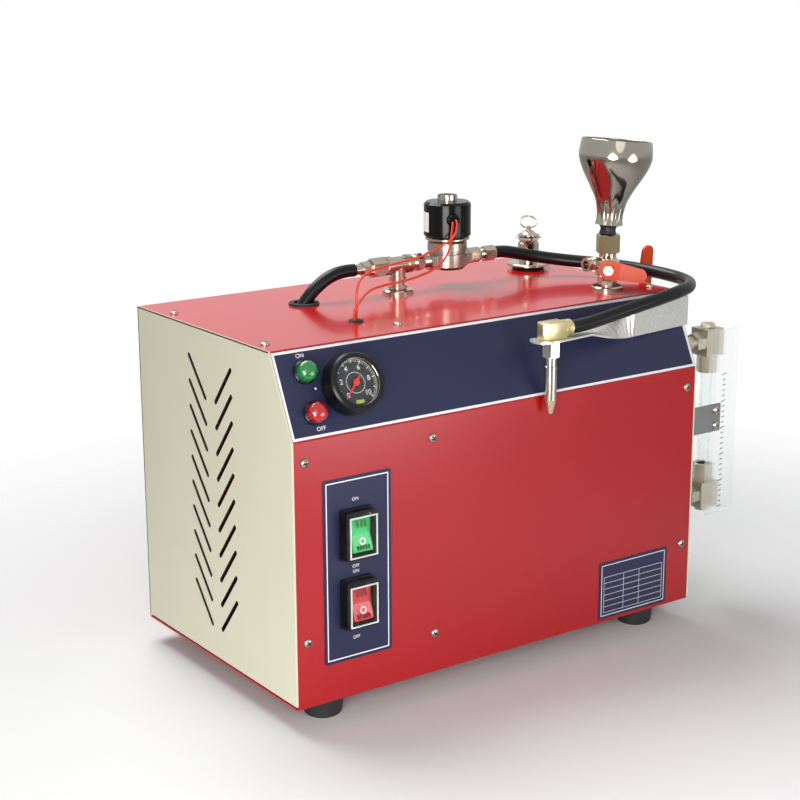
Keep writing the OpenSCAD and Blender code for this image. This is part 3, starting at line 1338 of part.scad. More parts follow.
base_tray();
front_panel();
top_cover();
rear_panel();
side_panel_left();
side_panel_right();
feet();
casing_screws();
control_overlay();
switch_plate();
rating_plate();
boiler_tank();
boiler_saddles();
heating_element();
pressure_switch();
control_relay();
gauge_case();
gauge_dial();
gauge_lens();
gauge_needle();
lamp_bezels();
green_lens();
red_lens();
switch_bodies();
pedal_rocker();
power_rocker();
switch_boots();
riser_pipes();
flange_washers();
outlet_tee();
pipe_nipples();
pipe_nuts();
solenoid_body();
solenoid_plunger();
solenoid_coil();
grommets();
safety_valve_body();
safety_valve_stem();
pull_ring();
filler_valve_body();
filler_ball();
filler_lever();
filler_vent();
funnel_nut();
funnel_seal();
funnel();
side_valve_body();
side_ball();
side_lever();
level_fittings();
level_glass();
level_guard();
guard_brackets();
nozzle_bracket();
nozzle_elbow();
nozzle_tip();
rear_connectors();
steam_hose();
gauge_hose();
coil_wires();
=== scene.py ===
"""Looks of a counter-top steam cleaner for jewellery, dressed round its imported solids.

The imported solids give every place: lengths below are millimetres from the middle of the
casing and the floor, as in the part's source, and `add_piece` carries them into the frame.
"""

import logging
import math
from dataclasses import dataclass
from enum import Enum
from typing import Iterable, Optional, Sequence

import bmesh
import bpy
from mathutils import Matrix, Vector


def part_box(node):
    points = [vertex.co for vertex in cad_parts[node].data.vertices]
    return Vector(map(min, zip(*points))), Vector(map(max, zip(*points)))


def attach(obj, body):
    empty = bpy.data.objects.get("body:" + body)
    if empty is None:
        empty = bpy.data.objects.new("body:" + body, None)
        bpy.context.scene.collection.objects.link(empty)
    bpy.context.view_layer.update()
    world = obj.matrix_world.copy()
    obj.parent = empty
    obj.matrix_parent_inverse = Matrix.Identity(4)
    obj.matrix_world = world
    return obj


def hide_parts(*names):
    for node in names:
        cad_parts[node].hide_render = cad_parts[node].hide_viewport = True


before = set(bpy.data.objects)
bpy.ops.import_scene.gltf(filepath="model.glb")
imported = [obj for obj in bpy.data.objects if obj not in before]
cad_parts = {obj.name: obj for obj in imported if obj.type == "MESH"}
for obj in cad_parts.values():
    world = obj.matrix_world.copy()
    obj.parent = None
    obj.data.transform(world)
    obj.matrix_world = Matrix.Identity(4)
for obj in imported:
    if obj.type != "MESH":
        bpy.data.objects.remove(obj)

Shape = bmesh.types.BMesh
Pair = tuple[float, float]
Triple = tuple[float, float, float]
Outline = Sequence[Pair]

LOG = logging.getLogger("steam_cleaner")

MM = 0.001


def box_mm(node: str) -> tuple[Vector, Vector]:
    """Lowest and highest corner of a solid in millimetres."""
    low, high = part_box(node)
    return low / MM, high / MM


PANEL_LOW, PANEL_HIGH = box_mm("front_panel")
TRAY_LOW, TRAY_HIGH = box_mm("base_tray")
REAR_LOW, REAR_HIGH = box_mm("rear_panel")
CASING_MID = Vector(((TRAY_LOW.x + TRAY_HIGH.x) / 2, (PANEL_LOW.y + REAR_HIGH.y) / 2, 0.0))
HALF_W = (TRAY_HIGH.x - TRAY_LOW.x) / 2
FRONT_Y = PANEL_LOW.y - CASING_MID.y
BACK_Y = REAR_HIGH.y - CASING_MID.y
FLOOR_Z = TRAY_LOW.z
TOP_Z = PANEL_HIGH.z
FRONT_H = 211.0
FOLD_Z = FLOOR_Z + FRONT_H
SLOPE_RUN = 30.0
SLOPE_RISE = TOP_Z - FOLD_Z
SLOPE_LENGTH = math.hypot(SLOPE_RUN, SLOPE_RISE)
SLOPE_MID = SLOPE_LENGTH / 2
SLOPE_ANGLE = math.atan2(SLOPE_RISE, SLOPE_RUN)
FILM_T = 0.6
INK_T = 0.06


class Body(Enum):
    """The moving bodies that a piece can ride on."""

    CASING = "casing"
    PEDAL_ROCKER = "pedal_rocker"
    POWER_ROCKER = "power_rocker"
    NEEDLE = "gauge_needle"
    SAFETY_STEM = "safety_stem"


# ---- places


MIDDLE = Matrix.Identity(4)


def shift(x: float, y: float, z: float) -> Matrix:
    """A move."""
    return Matrix.Translation((x, y, z))


def turn(degrees: float, axis: str) -> Matrix:
    """A turn about X, Y or Z."""
    return Matrix.Rotation(math.radians(degrees), 4, axis)


def on_front(x: float, z: float, out: float = 0.0) -> Matrix:
    """A place on the upright front, with Z pointing out of it."""
    return shift(x, FRONT_Y - out, z) @ turn(90, "X")


def on_back(x: float, z: float) -> Matrix:
    """A place on the back, with Z pointing out of it."""
    return shift(x, BACK_Y, z) @ turn(-90, "X")


def on_slope(x: float, up: float, out: float = 0.0) -> Matrix:
    """A place on the slope, at a distance up from the fold, with Z pointing out of it."""
    along = Vector((0, math.cos(SLOPE_ANGLE), math.sin(SLOPE_ANGLE)))
    foot = Vector((x, FRONT_Y, FOLD_Z)) + up * along
    return shift(*foot) @ Matrix.Rotation(SLOPE_ANGLE, 4, "X") @ shift(0, 0, out)


def unit(degrees: float) -> Pair:
    """Cosine and sine of an angle."""
    return math.cos(math.radians(degrees)), math.sin(math.radians(degrees))


def pointing_x() -> Matrix:
    """Lays a piece's Z axis along +X."""
    return turn(90, "Y")


# ---- finishes


def linear(colour: str, alpha: float = 1.0) -> tuple[float, float, float, float]:
    """Turns an sRGB hex value into the linear colour that the shaders take.

    Args:
        colour: six hexadecimal digits.
        alpha: the fourth value.

    Returns:
        Red, green, blue and alpha.
    """
    parts = [int(colour[i:i + 2], 16) / 255 for i in (0, 2, 4)]
    return tuple(p / 12.92 if p <= 0.04045 else ((p + 0.055) / 1.055) ** 2.4 for p in parts) + (alpha,)


def put(name: str, data: bpy.types.ID) -> bpy.types.Object:
    """Puts data into the scene as an object at the origin."""
    holder = bpy.data.objects.new(name, data)
    bpy.context.scene.collection.objects.link(holder)
    return holder


def empty_tree(owner: bpy.types.ID) -> bpy.types.NodeTree:
    """The emptied node tree of a material or world."""
    owner.use_nodes = True
    owner.node_tree.nodes.clear()
    return owner.node_tree


def add_node(tree: bpy.types.NodeTree, kind: str, inputs: Optional[dict] = None,
             **settings: str) -> bpy.types.Node:
    """Adds a node, sets it and links it.

    Args:
        tree: the node tree it goes into.
        kind: the shader node's type, without the word that all share.
        inputs: values or sockets for its inputs, by name or number.
        settings: attributes of the node.

    Returns:
        The new node.
    """
    node = tree.nodes.new(f"ShaderNode{kind}")
    for key, value in settings.items():
        setattr(node, key, value)
    for key, value in (inputs or {}).items():
        if isinstance(value, bpy.types.NodeSocket):
            tree.links.new(value, node.inputs[key])
        else:
            node.inputs[key].default_value = value
    return node


@dataclass(frozen=True)
class Finish:
    """What a surface is made of and how it was made.

    The colour drifts to a second one in soft patches, and a fine grain moves the roughness and
    the relief. Sizes are real millimetres.
    """

    name: str
    slot: str
    colour: str
    drift: str
    patch_mm: float
    roughness: float
    grain_mm: float
    relief_mm: float
    spread: float = 0.06
    grain_along: Triple = (1.0, 1.0, 1.0)
    shader: tuple[tuple[str, float], ...] = ()
    opacity: float = 1.0
    glow: str = ""

    def material(self) -> bpy.types.Material:
        """The finish as a material, made once.

        Returns:
            The material of this name.
        """
        known = bpy.data.materials.get(self.name)
        if known:
            return known
        made = bpy.data.materials.new(self.name)
        tree = empty_tree(made)
        place = add_node(tree, "TexCoord").outputs["Object"]
        patches = add_node(tree, "TexNoise",
                           {"Vector": place, "Scale": 1 / (self.patch_mm * MM), "Detail": 2.0})
        colour = add_node(tree, "Mix", {0: patches.outputs["Fac"], 6: linear(self.colour),
                                        7: linear(self.drift)}, data_type="RGBA")
        combed = add_node(tree, "Mapping", {"Vector": place, "Scale": self.grain_along})
        grain = add_node(tree, "TexNoise", {"Vector": combed.outputs[0],
                                            "Scale": 1 / (self.grain_mm * MM), "Detail": 3.0})
        rough = add_node(tree, "MapRange", {"Value": grain.outputs["Fac"],
                                            "To Min": max(0.0, self.roughness - self.spread),
                                            "To Max": self.roughness + self.spread})
        bump = add_node(tree, "Bump", {"Height": grain.outputs["Fac"],
                                       "Distance": self.relief_mm * MM, "Strength": 1.0})
        surface = add_node(tree, "BsdfPrincipled",
                           {"Base Color": colour.outputs[2], "Roughness": rough.outputs[0],
                            "Normal": bump.outputs[0], "Alpha": self.opacity, **dict(self.shader)})
        if self.glow:
            surface.inputs["Emission Color"].default_value = linear(self.glow)
        add_node(tree, "OutputMaterial", {"Surface": surface.outputs[0]})
        made.diffuse_color = linear(self.colour)
        return made


METAL = (("Metallic", 1.0),)

# Stove enamel on sheet steel: the flat top was sprayed wet and mirrors what stands on it. Its red is painted
# lighter than the upright sheets' red: painted light for the light that falls on the top.
RED_GLOSS_LIT_TOP = Finish("stove_enamel_gloss_painted_light", "red_paint", "e0121f", "d00c18", 190, 0.18, 1.4, 0.003, 0.04,
                   shader=(("Specular IOR Level", 0.6), ("Coat Weight", 0.25), ("Coat Roughness", 0.03)))
# The same enamel on the upright sheets: orange peel turns its gloss into a soft sheen. Its red is painted
# darker than the top's: painted shade on the upright faces.
RED_ENAMEL_SHADED = Finish("stove_enamel_sheen_painted_shade", "red_paint", "a60814", "96060f", 190, 0.24, 1.4, 0.005, 0.04,
                    shader=(("Specular IOR Level", 0.66),))
# Painted shade: a dark red-brown for the shadowed gap where the red sheet's edge meets a cream side.
SEAM_SHADE = Finish("sheet_edge_shade", "red_paint", "2c0d10", "3a1114", 40, 0.5, 0.6, 0.004)
# Powder coat: satin, with a fine even texture that softens every reflection.
CREAM_COAT = Finish("powder_coat_cream", "cream_paint", "d3d0ba", "c8c5ae", 160, 0.42, 0.6, 0.006, 0.05,
                    shader=(("Specular IOR Level", 0.4),))
# Cut edges of the slots: painted shade, a dark colour for the shade that falls on the slot walls.
SLOT_SHADE = Finish("slot_edge_shade", "cream_paint", "1d1b17", "2a2721", 20, 0.6, 0.5, 0.004)
# Compression-moulded rubber: matt, slightly uneven black.
FOOT_RUBBER = Finish("moulded_rubber_black", "rubber_black", "161617", "222224", 20, 0.62, 0.5, 0.02)
# Extruded hose: smooth skin with one long soft highlight.
HOSE_RUBBER = Finish("extruded_hose_rubber", "hose_rubber", "08080a", "101012", 30, 0.3, 0.7, 0.006, 0.05,
                     shader=(("Specular IOR Level", 0.3),))
STOPPER_RUBBER = Finish("turned_stopper_rubber", "hose_rubber", "0f0f10", "1a1a1b", 15, 0.45, 0.5, 0.01)
# Nickel-plated screws: bright, with brushed-off plating on the crowns.
SCREW_NICKEL = Finish("nickel_plated_screw", "screw_steel", "c8c4ba", "a9a397", 6, 0.22, 0.4, 0.004, 0.08,
                      shader=METAL)
# Painted shade: a dark disc on the floor of each screw's cross recess, for the shade inside it.
RECESS_SHADE = Finish("screw_recess_shade", "screw_steel", "34302c", "241f1d", 4, 0.5, 0.4, 0.004,
                      shader=(("Metallic", 0.6),))
# Reverse-printed polyester film: deep navy under a hard satin skin.
NAVY_FILM = Finish("printed_polyester_film", "navy_film", "1a1e3f", "292c47", 260, 0.38, 0.5, 0.0015, 0.04,
                   shader=(("Specular IOR Level", 0.35),))
WHITE_INK = Finish("screen_ink_white", "navy_film", "e9e6e8", "dedbe0", 12, 0.45, 0.3, 0.001)
# Rolled and welded stainless of the boiler.
BOILER_STEEL = Finish("rolled_boiler_steel", "boiler_steel", "a7a6a1", "8f8d88", 70, 0.36, 0.5, 0.005,
                      grain_along=(1.0, 6.0, 6.0), shader=METAL)
# Polished stainless strip: drawn streaks across its width under a haze of fine scratches.
STRIP_STEEL = Finish("polished_strip_steel", "bracket_steel", "e2e2db", "d2d1ca", 14, 0.28, 1.2, 0.003, 0.09,
                     grain_along=(6.0, 6.0, 0.25), shader=(("Metallic", 0.6),))
GREY_BRACKET = Finish("zinc_plated_bracket", "bracket_steel", "9fa09e", "8b8c8a", 18, 0.42, 0.6, 0.004,
                      shader=METAL)
# Injection-moulded ABS: satin black with a light spark texture.
BLACK_ABS = Finish("moulded_abs_black", "black_plastic", "09090b", "111114", 30, 0.3, 0.35, 0.004,
                   shader=(("Specular IOR Level", 0.35),))
# Phenolic coil jacket: glossier than ABS, with a clear top skin.
COIL_PHENOLIC = Finish("phenolic_coil_black", "black_plastic", "040405", "08080a", 25, 0.14, 0.6, 0.002, 0.03,
                       shader=(("Specular IOR Level", 0.25),))
LABEL_PAPER = Finish("coated_label_paper", "black_plastic", "f6f6f3", "ecece8", 9, 0.5, 0.3, 0.002)
# Blackened steel of the nut that holds the coil.
BLACK_STEEL = Finish("blackened_steel", "nickel_brass", "2a2926", "1f1e1c", 8, 0.34, 0.5, 0.006, 0.08,
                     shader=(("Specular IOR Level", 0.4),))
DIAL_LACQUER = Finish("dial_lacquer_dark", "dial_print", "202226", "2a2c31", 12, 0.4, 0.3, 0.001)
DIAL_INK = Finish("dial_ink_white", "dial_print", "ecebe6", "dddcd6", 6, 0.5, 0.3, 0.001)
DIAL_BAND = Finish("dial_ink_green", "dial_print", "a9b94a", "8fae4c", 4, 0.5, 0.3, 0.001)
# Cast acrylic: clear, with bright cut edges.
CLEAR_ACRYLIC = Finish("cast_acrylic_clear", "clear_plastic", "fbfdfd", "f4f9f9", 60, 0.06, 3.0, 0.0006, 0.02,
                       shader=(("Transmission Weight", 1.0), ("IOR", 1.2)), opacity=0.34)
GAUGE_GLASS = Finish("tube_glass_clear", "clear_plastic", "f2f8f6", "ecf5f2", 40, 0.03, 3.0, 0.0004, 0.01,
                     shader=(("Transmission Weight", 1.0), ("IOR", 1.25)), opacity=0.5)
# Soft PVC boot: clear, with a faint wave on the face.
CLEAR_PVC = Finish("soft_pvc_clear", "clear_plastic", "f8faf9", "eff3f1", 14, 0.06, 5.0, 0.008, 0.03,
                   shader=(("Transmission Weight", 1.0), ("IOR", 1.3)), opacity=0.3)
# The boot's front lip: a milky, nearly opaque frame, a painted highlight for the bright line along the clear
# boot's front edge.
PVC_HIGHLIGHT_LIP = Finish("soft_pvc_painted_highlight", "clear_plastic", "e9efec", "dfe7e4", 14, 0.16, 3.5, 0.01, 0.05,
                 shader=(("Transmission Weight", 0.2), ("IOR", 1.4)), opacity=0.85)
NEEDLE_RED = Finish("needle_lacquer_red", "needle_red", "d0331f", "c02a1a", 6, 0.35, 0.3, 0.001)
GREEN_LENS = Finish("lamp_lens_green", "green_plastic", "0d7a33", "0f8c3c", 9, 0.1, 2.0, 0.004, 0.03,
                    shader=(("Transmission Weight", 0.35), ("IOR", 1.5), ("Coat Weight", 1.0),
                            ("Coat Roughness", 0.03), ("Emission Strength", 0.06)), glow="1fb457")
RED_LENS = Finish("lamp_lens_red", "red_plastic", "b0101a", "c4131d", 9, 0.1, 2.0, 0.004, 0.03,
                  shader=(("Transmission Weight", 0.35), ("IOR", 1.5), ("Coat Weight", 1.0),
                          ("Coat Roughness", 0.03), ("Emission Strength", 0.05)), glow="e0202a")
# Painted shade: darker copies of the rockers' green and red, laid on the finger ribs for the shade between
# them.
GREEN_RIB_SHADE = Finish("rocker_rib_green_painted_shade", "green_plastic", "0c3d1e", "0f4a24", 12, 0.4, 1.5, 0.003)
RED_RIB_SHADE = Finish("rocker_rib_red_painted_shade", "red_plastic", "571317", "64181b", 12, 0.4, 1.5, 0.003)
GREEN_ROCKER = Finish("rocker_polycarbonate_green", "green_plastic", "2ea655", "49bd6c", 12, 0.22, 1.5, 0.004,
                      0.05, shader=(("Coat Weight", 0.4), ("Subsurface Weight", 0.2),
                                    ("Subsurface Scale", 0.004), ("Emission Strength", 0.12)), glow="35c067")
RED_ROCKER = Finish("rocker_polycarbonate_red", "red_plastic", "b8262b", "c63a3c", 12, 0.22, 1.5, 0.004,
                    0.05, shader=(("Coat Weight", 0.4), ("Subsurface Weight", 0.2),
                                  ("Subsurface Scale", 0.004), ("Emission Strength", 0.05)), glow="e04040")
# Nickel on brass: warm and bright where polished, satin where cast.
POLISHED_NICKEL = Finish("polished_nickel", "nickel_brass", "d6cec0", "b7ac9a", 16, 0.12, 0.9, 0.004, 0.06,
                         shader=METAL)
CAST_NICKEL = Finish("cast_nickel", "nickel_brass", "cdc8ba", "b5af9f", 14, 0.4, 0.5, 0.012, 0.08,
                     shader=METAL)
BRUSHED_VALVE = Finish("brushed_valve_steel", "nickel_brass", "bdb8ae", "a59f94", 12, 0.24, 0.5, 0.004, 0.07,
                       grain_along=(8.0, 8.0, 0.4), shader=METAL)
FUNNEL_STEEL = Finish("spun_funnel_steel", "nickel_brass", "b9b4a7", "9d9789", 30, 0.1, 1.1, 0.003, 0.05,
                      grain_along=(1.0, 1.0, 9.0), shader=METAL)
# Nickel over brass worn thin on the corners, so the hexagons turn warm.
WORN_NICKEL = Finish("worn_nickel_brass", "nickel_brass", "c9b98f", "a99870", 9, 0.16, 0.7, 0.005, 0.07,
                     shader=METAL)
TIP_CHROME = Finish("turned_chrome", "nickel_brass", "d3cfc2", "b8b4a6", 12, 0.13, 0.8, 0.003, 0.05,
                    grain_along=(1.0, 1.0, 8.0), shader=METAL)
TIP_BRASS = Finish("pale_brass_cone", "nickel_brass", "ecd9b6", "dcc49c", 8, 0.2, 0.6, 0.004, 0.06,
                   shader=METAL)
RAW_BRASS = Finish("raw_brass", "raw_brass", "cf9c3a", "b58329", 10, 0.2, 0.6, 0.005, 0.07, shader=METAL)
# Dip-moulded vinyl over a stamped lever: thick, soft-edged and waxy.
ORANGE_VINYL = Finish("dipped_vinyl_orange", "orange_grip", "dc430a", "cc3a0a", 14, 0.38, 0.8, 0.01, 0.05,
                      shader=(("Specular IOR Level", 0.35),))
WIRE_PVC = Finish("wire_pvc_orange_red", "wire_red", "e0431c", "d03a1a", 20, 0.36, 0.6, 0.004)

NODE_FINISHES: dict[Finish, tuple[str, ...]] = {
    RED_GLOSS_LIT_TOP: ("top_cover",),
    RED_ENAMEL_SHADED: ("base_tray", "front_panel", "rear_panel"),
    CREAM_COAT: ("side_panel_left", "side_panel_right"),
    FOOT_RUBBER: ("feet", "grommets"),
    SCREW_NICKEL: ("casing_screws", "pull_ring"),
    NAVY_FILM: ("control_overlay", "switch_plate", "rating_plate"),
    BOILER_STEEL: ("boiler_tank", "boiler_saddles", "solenoid_plunger"),
    RAW_BRASS: ("heating_element", "nozzle_elbow", "filler_ball", "side_ball"),
    BLACK_ABS: ("pressure_switch", "control_relay", "gauge_case", "lamp_bezels", "switch_bodies",
                "rear_connectors"),
    DIAL_LACQUER: ("gauge_dial",),
    CLEAR_ACRYLIC: ("gauge_lens", "level_guard"),
    GAUGE_GLASS: ("level_glass",),
    CLEAR_PVC: ("switch_boots",),
    NEEDLE_RED: ("gauge_needle",),
    GREEN_LENS: ("green_lens",),
    RED_LENS: ("red_lens",),
    GREEN_ROCKER: ("pedal_rocker",),
    RED_ROCKER: ("power_rocker",),
    POLISHED_NICKEL: ("riser_pipes", "flange_washers", "outlet_tee", "pipe_nipples", "pipe_nuts",
                      "safety_valve_body", "safety_valve_stem", "filler_valve_body", "filler_vent",
                      "side_valve_body"),
    WORN_NICKEL: ("funnel_nut",),
    TIP_CHROME: ("nozzle_tip",),
    BRUSHED_VALVE: ("solenoid_body",),
    CAST_NICKEL: ("level_fittings",),
    COIL_PHENOLIC: ("solenoid_coil",),
    STOPPER_RUBBER: ("funnel_seal",),
    FUNNEL_STEEL: ("funnel",),
    ORANGE_VINYL: ("filler_lever", "side_lever"),
    GREY_BRACKET: ("guard_brackets",),
    STRIP_STEEL: ("nozzle_bracket",),
    HOSE_RUBBER: ("steam_hose", "gauge_hose"),
    WIRE_PVC: ("coil_wires",),
}


def dress_solids() -> None:
    """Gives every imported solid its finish."""
    for finish, names in NODE_FINISHES.items():
        for name in names:
            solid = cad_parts[name]
            solid.data.materials.clear()
            solid.data.materials.append(finish.material())
            LOG.info("%s: %s", name, finish.name)


# ---- shaping

WELD_MM = 1e-5
SHARP_OVER = 35.0


def lathe(profile: Outline, steps: int = 48, angle: float = 360.0, start: float = 0.0) -> Shape:
    """Spins an outline about the Z axis.

    Args:
        profile: radius and height of each point, in order.
        steps: facets of the turn.
        angle: how far it turns, in degrees.
        start: where it starts, in degrees.

    Returns:
        The turned shape.
    """
    shape = bmesh.new()
    points = [shape.verts.new((r, 0, z)) for r, z in profile]
    edges = [shape.edges.new(pair) for pair in zip(points, points[1:])]
    bmesh.ops.rotate(shape, verts=points, cent=(0, 0, 0), matrix=Matrix.Rotation(math.radians(start), 3, "Z"))
    full = angle >= 360.0
    bmesh.ops.spin(shape, geom=points + edges, cent=(0, 0, 0), axis=(0, 0, 1),
                   angle=math.radians(angle), steps=steps, use_merge=full, use_duplicate=False)
    bmesh.ops.remove_doubles(shape, verts=shape.verts, dist=WELD_MM)
    if not full:
        bmesh.ops.holes_fill(shape, edges=[edge for edge in shape.edges if edge.is_boundary], sides=0)
    bmesh.ops.recalc_face_normals(shape, faces=shape.faces)
    return shape


def prism(outline: Outline, t: float, edge: float = 0.0) -> Shape:
    """A flat outline given a thickness, standing on Z = 0, with its edges broken.

    Args:
        outline: its corners in order.
        t: thickness along Z.
        edge: width of the broken edges.

    Returns:
        The closed shape.
    """
    shape = bmesh.new()
    shape.faces.new([shape.verts.new((x, y, 0)) for x, y in outline])
    raise_sheet(shape, t)
    break_edges(shape, edge)
    return shape


def break_edges(shape: Shape, width: float) -> None:
    """Breaks every edge of a shape by a width, or none where it is 0."""
    if width:
        bmesh.ops.bevel(shape, geom=shape.edges[:], offset=width, segments=2, profile=0.5,
                        affect="EDGES", material=-1)


def hexagon(af: float, t: float) -> Shape:
    """A nut's hexagonal bar with its corners turned down at both ends.

    Args:
        af: width across the flats.
        t: length along Z.

    Returns:
        The hexagon, standing on Z = 0.
    """
    r = af / math.sqrt(3)
    corners = [(r * c, r * s) for c, s in map(unit, range(30, 390, 60))]
    tool_r, past, slack, fall = af / 2 + 0.2, r + 1, 0.01, 0.5
    body = prism(corners, t)
    for end, inward in ((0.0, 1), (t, -1)):
        face = end - inward * slack
        slant = end + inward * (past - tool_r) * fall
        body = carved(body, lathe([(tool_r, face), (past, face), (past, slant), (tool_r, face)], 36))
    return body


def bar(w: float, h: float, t: float, edge: float = 0.0) -> Shape:
    """A flat bar standing on Z = 0, with its edges broken.

    Args:
        w: width along X.
        h: height along Y.
        t: thickness along Z.
        edge: width of the broken edges.

    Returns:
        The bar.
    """
    shape = bmesh.new()
    bmesh.ops.create_cube(shape, size=1.0, matrix=shift(0, 0, t / 2) @ Matrix.Diagonal((w, h, t, 1)))
    break_edges(shape, edge)
    return shape


def border(w: float, h: float, line: float, t: float) -> Shape:
    """A printed frame line round a plate.

    Args:
        w: outer width.
        h: outer height.
        line: width of the line.
        t: thickness of the ink.

    Returns:
        The frame, standing on Z = 0.
    """
    return band_between(*([(x * (w / 2 - inset), y * (h / 2 - inset))
                           for x, y in ((-1, -1), (1, -1), (1, 1), (-1, 1))] for inset in (0, line)), t)


def band_between(outline: Outline, hole: Outline, t: float) -> Shape:
    """A band between two closed outlines with as many corners.

    Args:
        outline: its outer corners.
        hole: its inner corners.
        t: thickness along Z.

    Returns:
        The band, standing on Z = 0.
    """
    shape = bmesh.new()
    outer, inner = ([shape.verts.new((x, y, 0)) for x, y in corners] for corners in (outline, hole))
    bridge(shape, outer, inner)
    raise_sheet(shape, t)
    return shape


def bridge(shape: Shape, ring: Sequence[bmesh.types.BMVert], other: Sequence[bmesh.types.BMVert]) -> None:
    """Fills the gap between two closed rings of points with faces."""
    for k in range(len(ring)):
        after = (k + 1) % len(ring)
        shape.faces.new((ring[k], ring[after], other[after], other[k]))


def raise_sheet(shape: Shape, t: float) -> None:
    """Gives a flat sheet on Z = 0 its thickness upwards."""
    bottom = shape.faces[:]
    raised = bmesh.ops.extrude_face_region(shape, geom=bottom, use_keep_orig=True)["geom"]
    tops = [g for g in raised if isinstance(g, bmesh.types.BMVert)]
    bmesh.ops.translate(shape, verts=tops, vec=(0, 0, t))
    bmesh.ops.recalc_face_normals(shape, faces=shape.faces)


def arc_band(r0: float, r1: float, start: float, end: float, t: float) -> Shape:
    """A flat ring or arc of ink, standing on Z = 0.

    Args:
        r0: inner radius.
        r1: outer radius.
        start: first angle in degrees.
        end: last angle in degrees.
        t: thickness of the ink.

    Returns:
        The band.
    """
    span = end - start
    steps = max(6, int(abs(span) / 6))
    return lathe([(r0, 0), (r1, 0), (r1, t), (r0, t), (r0, 0)], steps, span, start)


def lettering(words: str, size: float, t: float) -> Shape:
    """Plain letters or numbers as ink, centred, standing on Z = 0.

    Args:
        words: what they say.
        size: height of the line.
        t: thickness of the ink.

    Returns:
        The letters as a closed mesh.
    """
    curve = bpy.data.curves.new("lettering", "FONT")
    curve.body = words
    curve.size = size
    curve.align_x = "CENTER"
    curve.align_y = "CENTER"
    curve.resolution_u = 3
    curve.extrude = t / 2
    holder = put("lettering", curve)
    graph = bpy.context.evaluated_depsgraph_get()
    mesh = bpy.data.meshes.new_from_object(holder.evaluated_get(graph))
    shape = bmesh.new()
    shape.from_mesh(mesh)
    bpy.data.objects.remove(holder)
    bpy.data.curves.remove(curve)
    bpy.data.meshes.remove(mesh)
    bmesh.ops.remove_doubles(shape, verts=shape.verts, dist=WELD_MM)
    bmesh.ops.translate(shape, verts=shape.verts, vec=(0, 0, t / 2))
    return shape


def joined(parts: Iterable[tuple[Shape, Matrix]]) -> Shape:
    """Puts several shapes into one.

    Args:
        parts: each shape with its place.

    Returns:
        One shape that holds them all; the parts are used up.
    """
    whole = bmesh.new()
    for part, place in parts:
        part.transform(place)
        mesh = bpy.data.meshes.new("part")
        part.to_mesh(mesh)
        part.free()
        whole.from_mesh(mesh)
        bpy.data.meshes.remove(mesh)
    return whole


def carved(body: Shape, tool: Shape) -> Shape:
    """Cuts one shape out of another.

    Args:
        body: the shape that is cut.
        tool: the shape that is taken away.

    Returns:
        What is left; both shapes are used up.
    """
    objects = []
    for shape in (body, tool):
        mesh = bpy.data.meshes.new("carving")
        shape.to_mesh(mesh)
        shape.free()
        objects.append(put("carving", mesh))
    cut = objects[0].modifiers.new("cut", "BOOLEAN")
    cut.operation = "DIFFERENCE"
    cut.solver = "EXACT"
    cut.object = objects[1]
    graph = bpy.context.evaluated_depsgraph_get()
    mesh = bpy.data.meshes.new_from_object(objects[0].evaluated_get(graph))
    result = bmesh.new()
    result.from_mesh(mesh)
    for holder in objects:
        data = holder.data
        bpy.data.objects.remove(holder)
        bpy.data.meshes.remove(data)
    bpy.data.meshes.remove(mesh)
    return result


def add_piece(name: str, shape: Shape, place: Matrix, finish: Finish, body: Body = Body.CASING,
              stands_for: str = "") -> bpy.types.Object:
    """Makes a shape a piece of the object.

    Args:
        name: the piece's name.
        shape: its mesh in millimetres, which is used up.
        place: where it goes, in millimetres from the casing's middle.
        finish: its material.
        body: what it rides on.
        stands_for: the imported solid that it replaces.

    Returns:
        The piece, at the origin with its place in its mesh.
    """
    shape.transform(Matrix.Scale(MM, 4) @ Matrix.Translation(CASING_MID) @ place)
    mesh = bpy.data.meshes.new(name)
    shape.to_mesh(mesh)
    shape.free()
    mesh.shade_smooth()
    mesh.set_sharp_from_angle(angle=math.radians(SHARP_OVER))
    mesh.materials.append(finish.material())
    piece = put(name, mesh)
    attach(piece, body.value)
    if stands_for:
        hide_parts(stands_for)
    LOG.info("%s: %d faces, %s", name, len(mesh.polygons), finish.name)
    return piece


# ---- hoses and wires


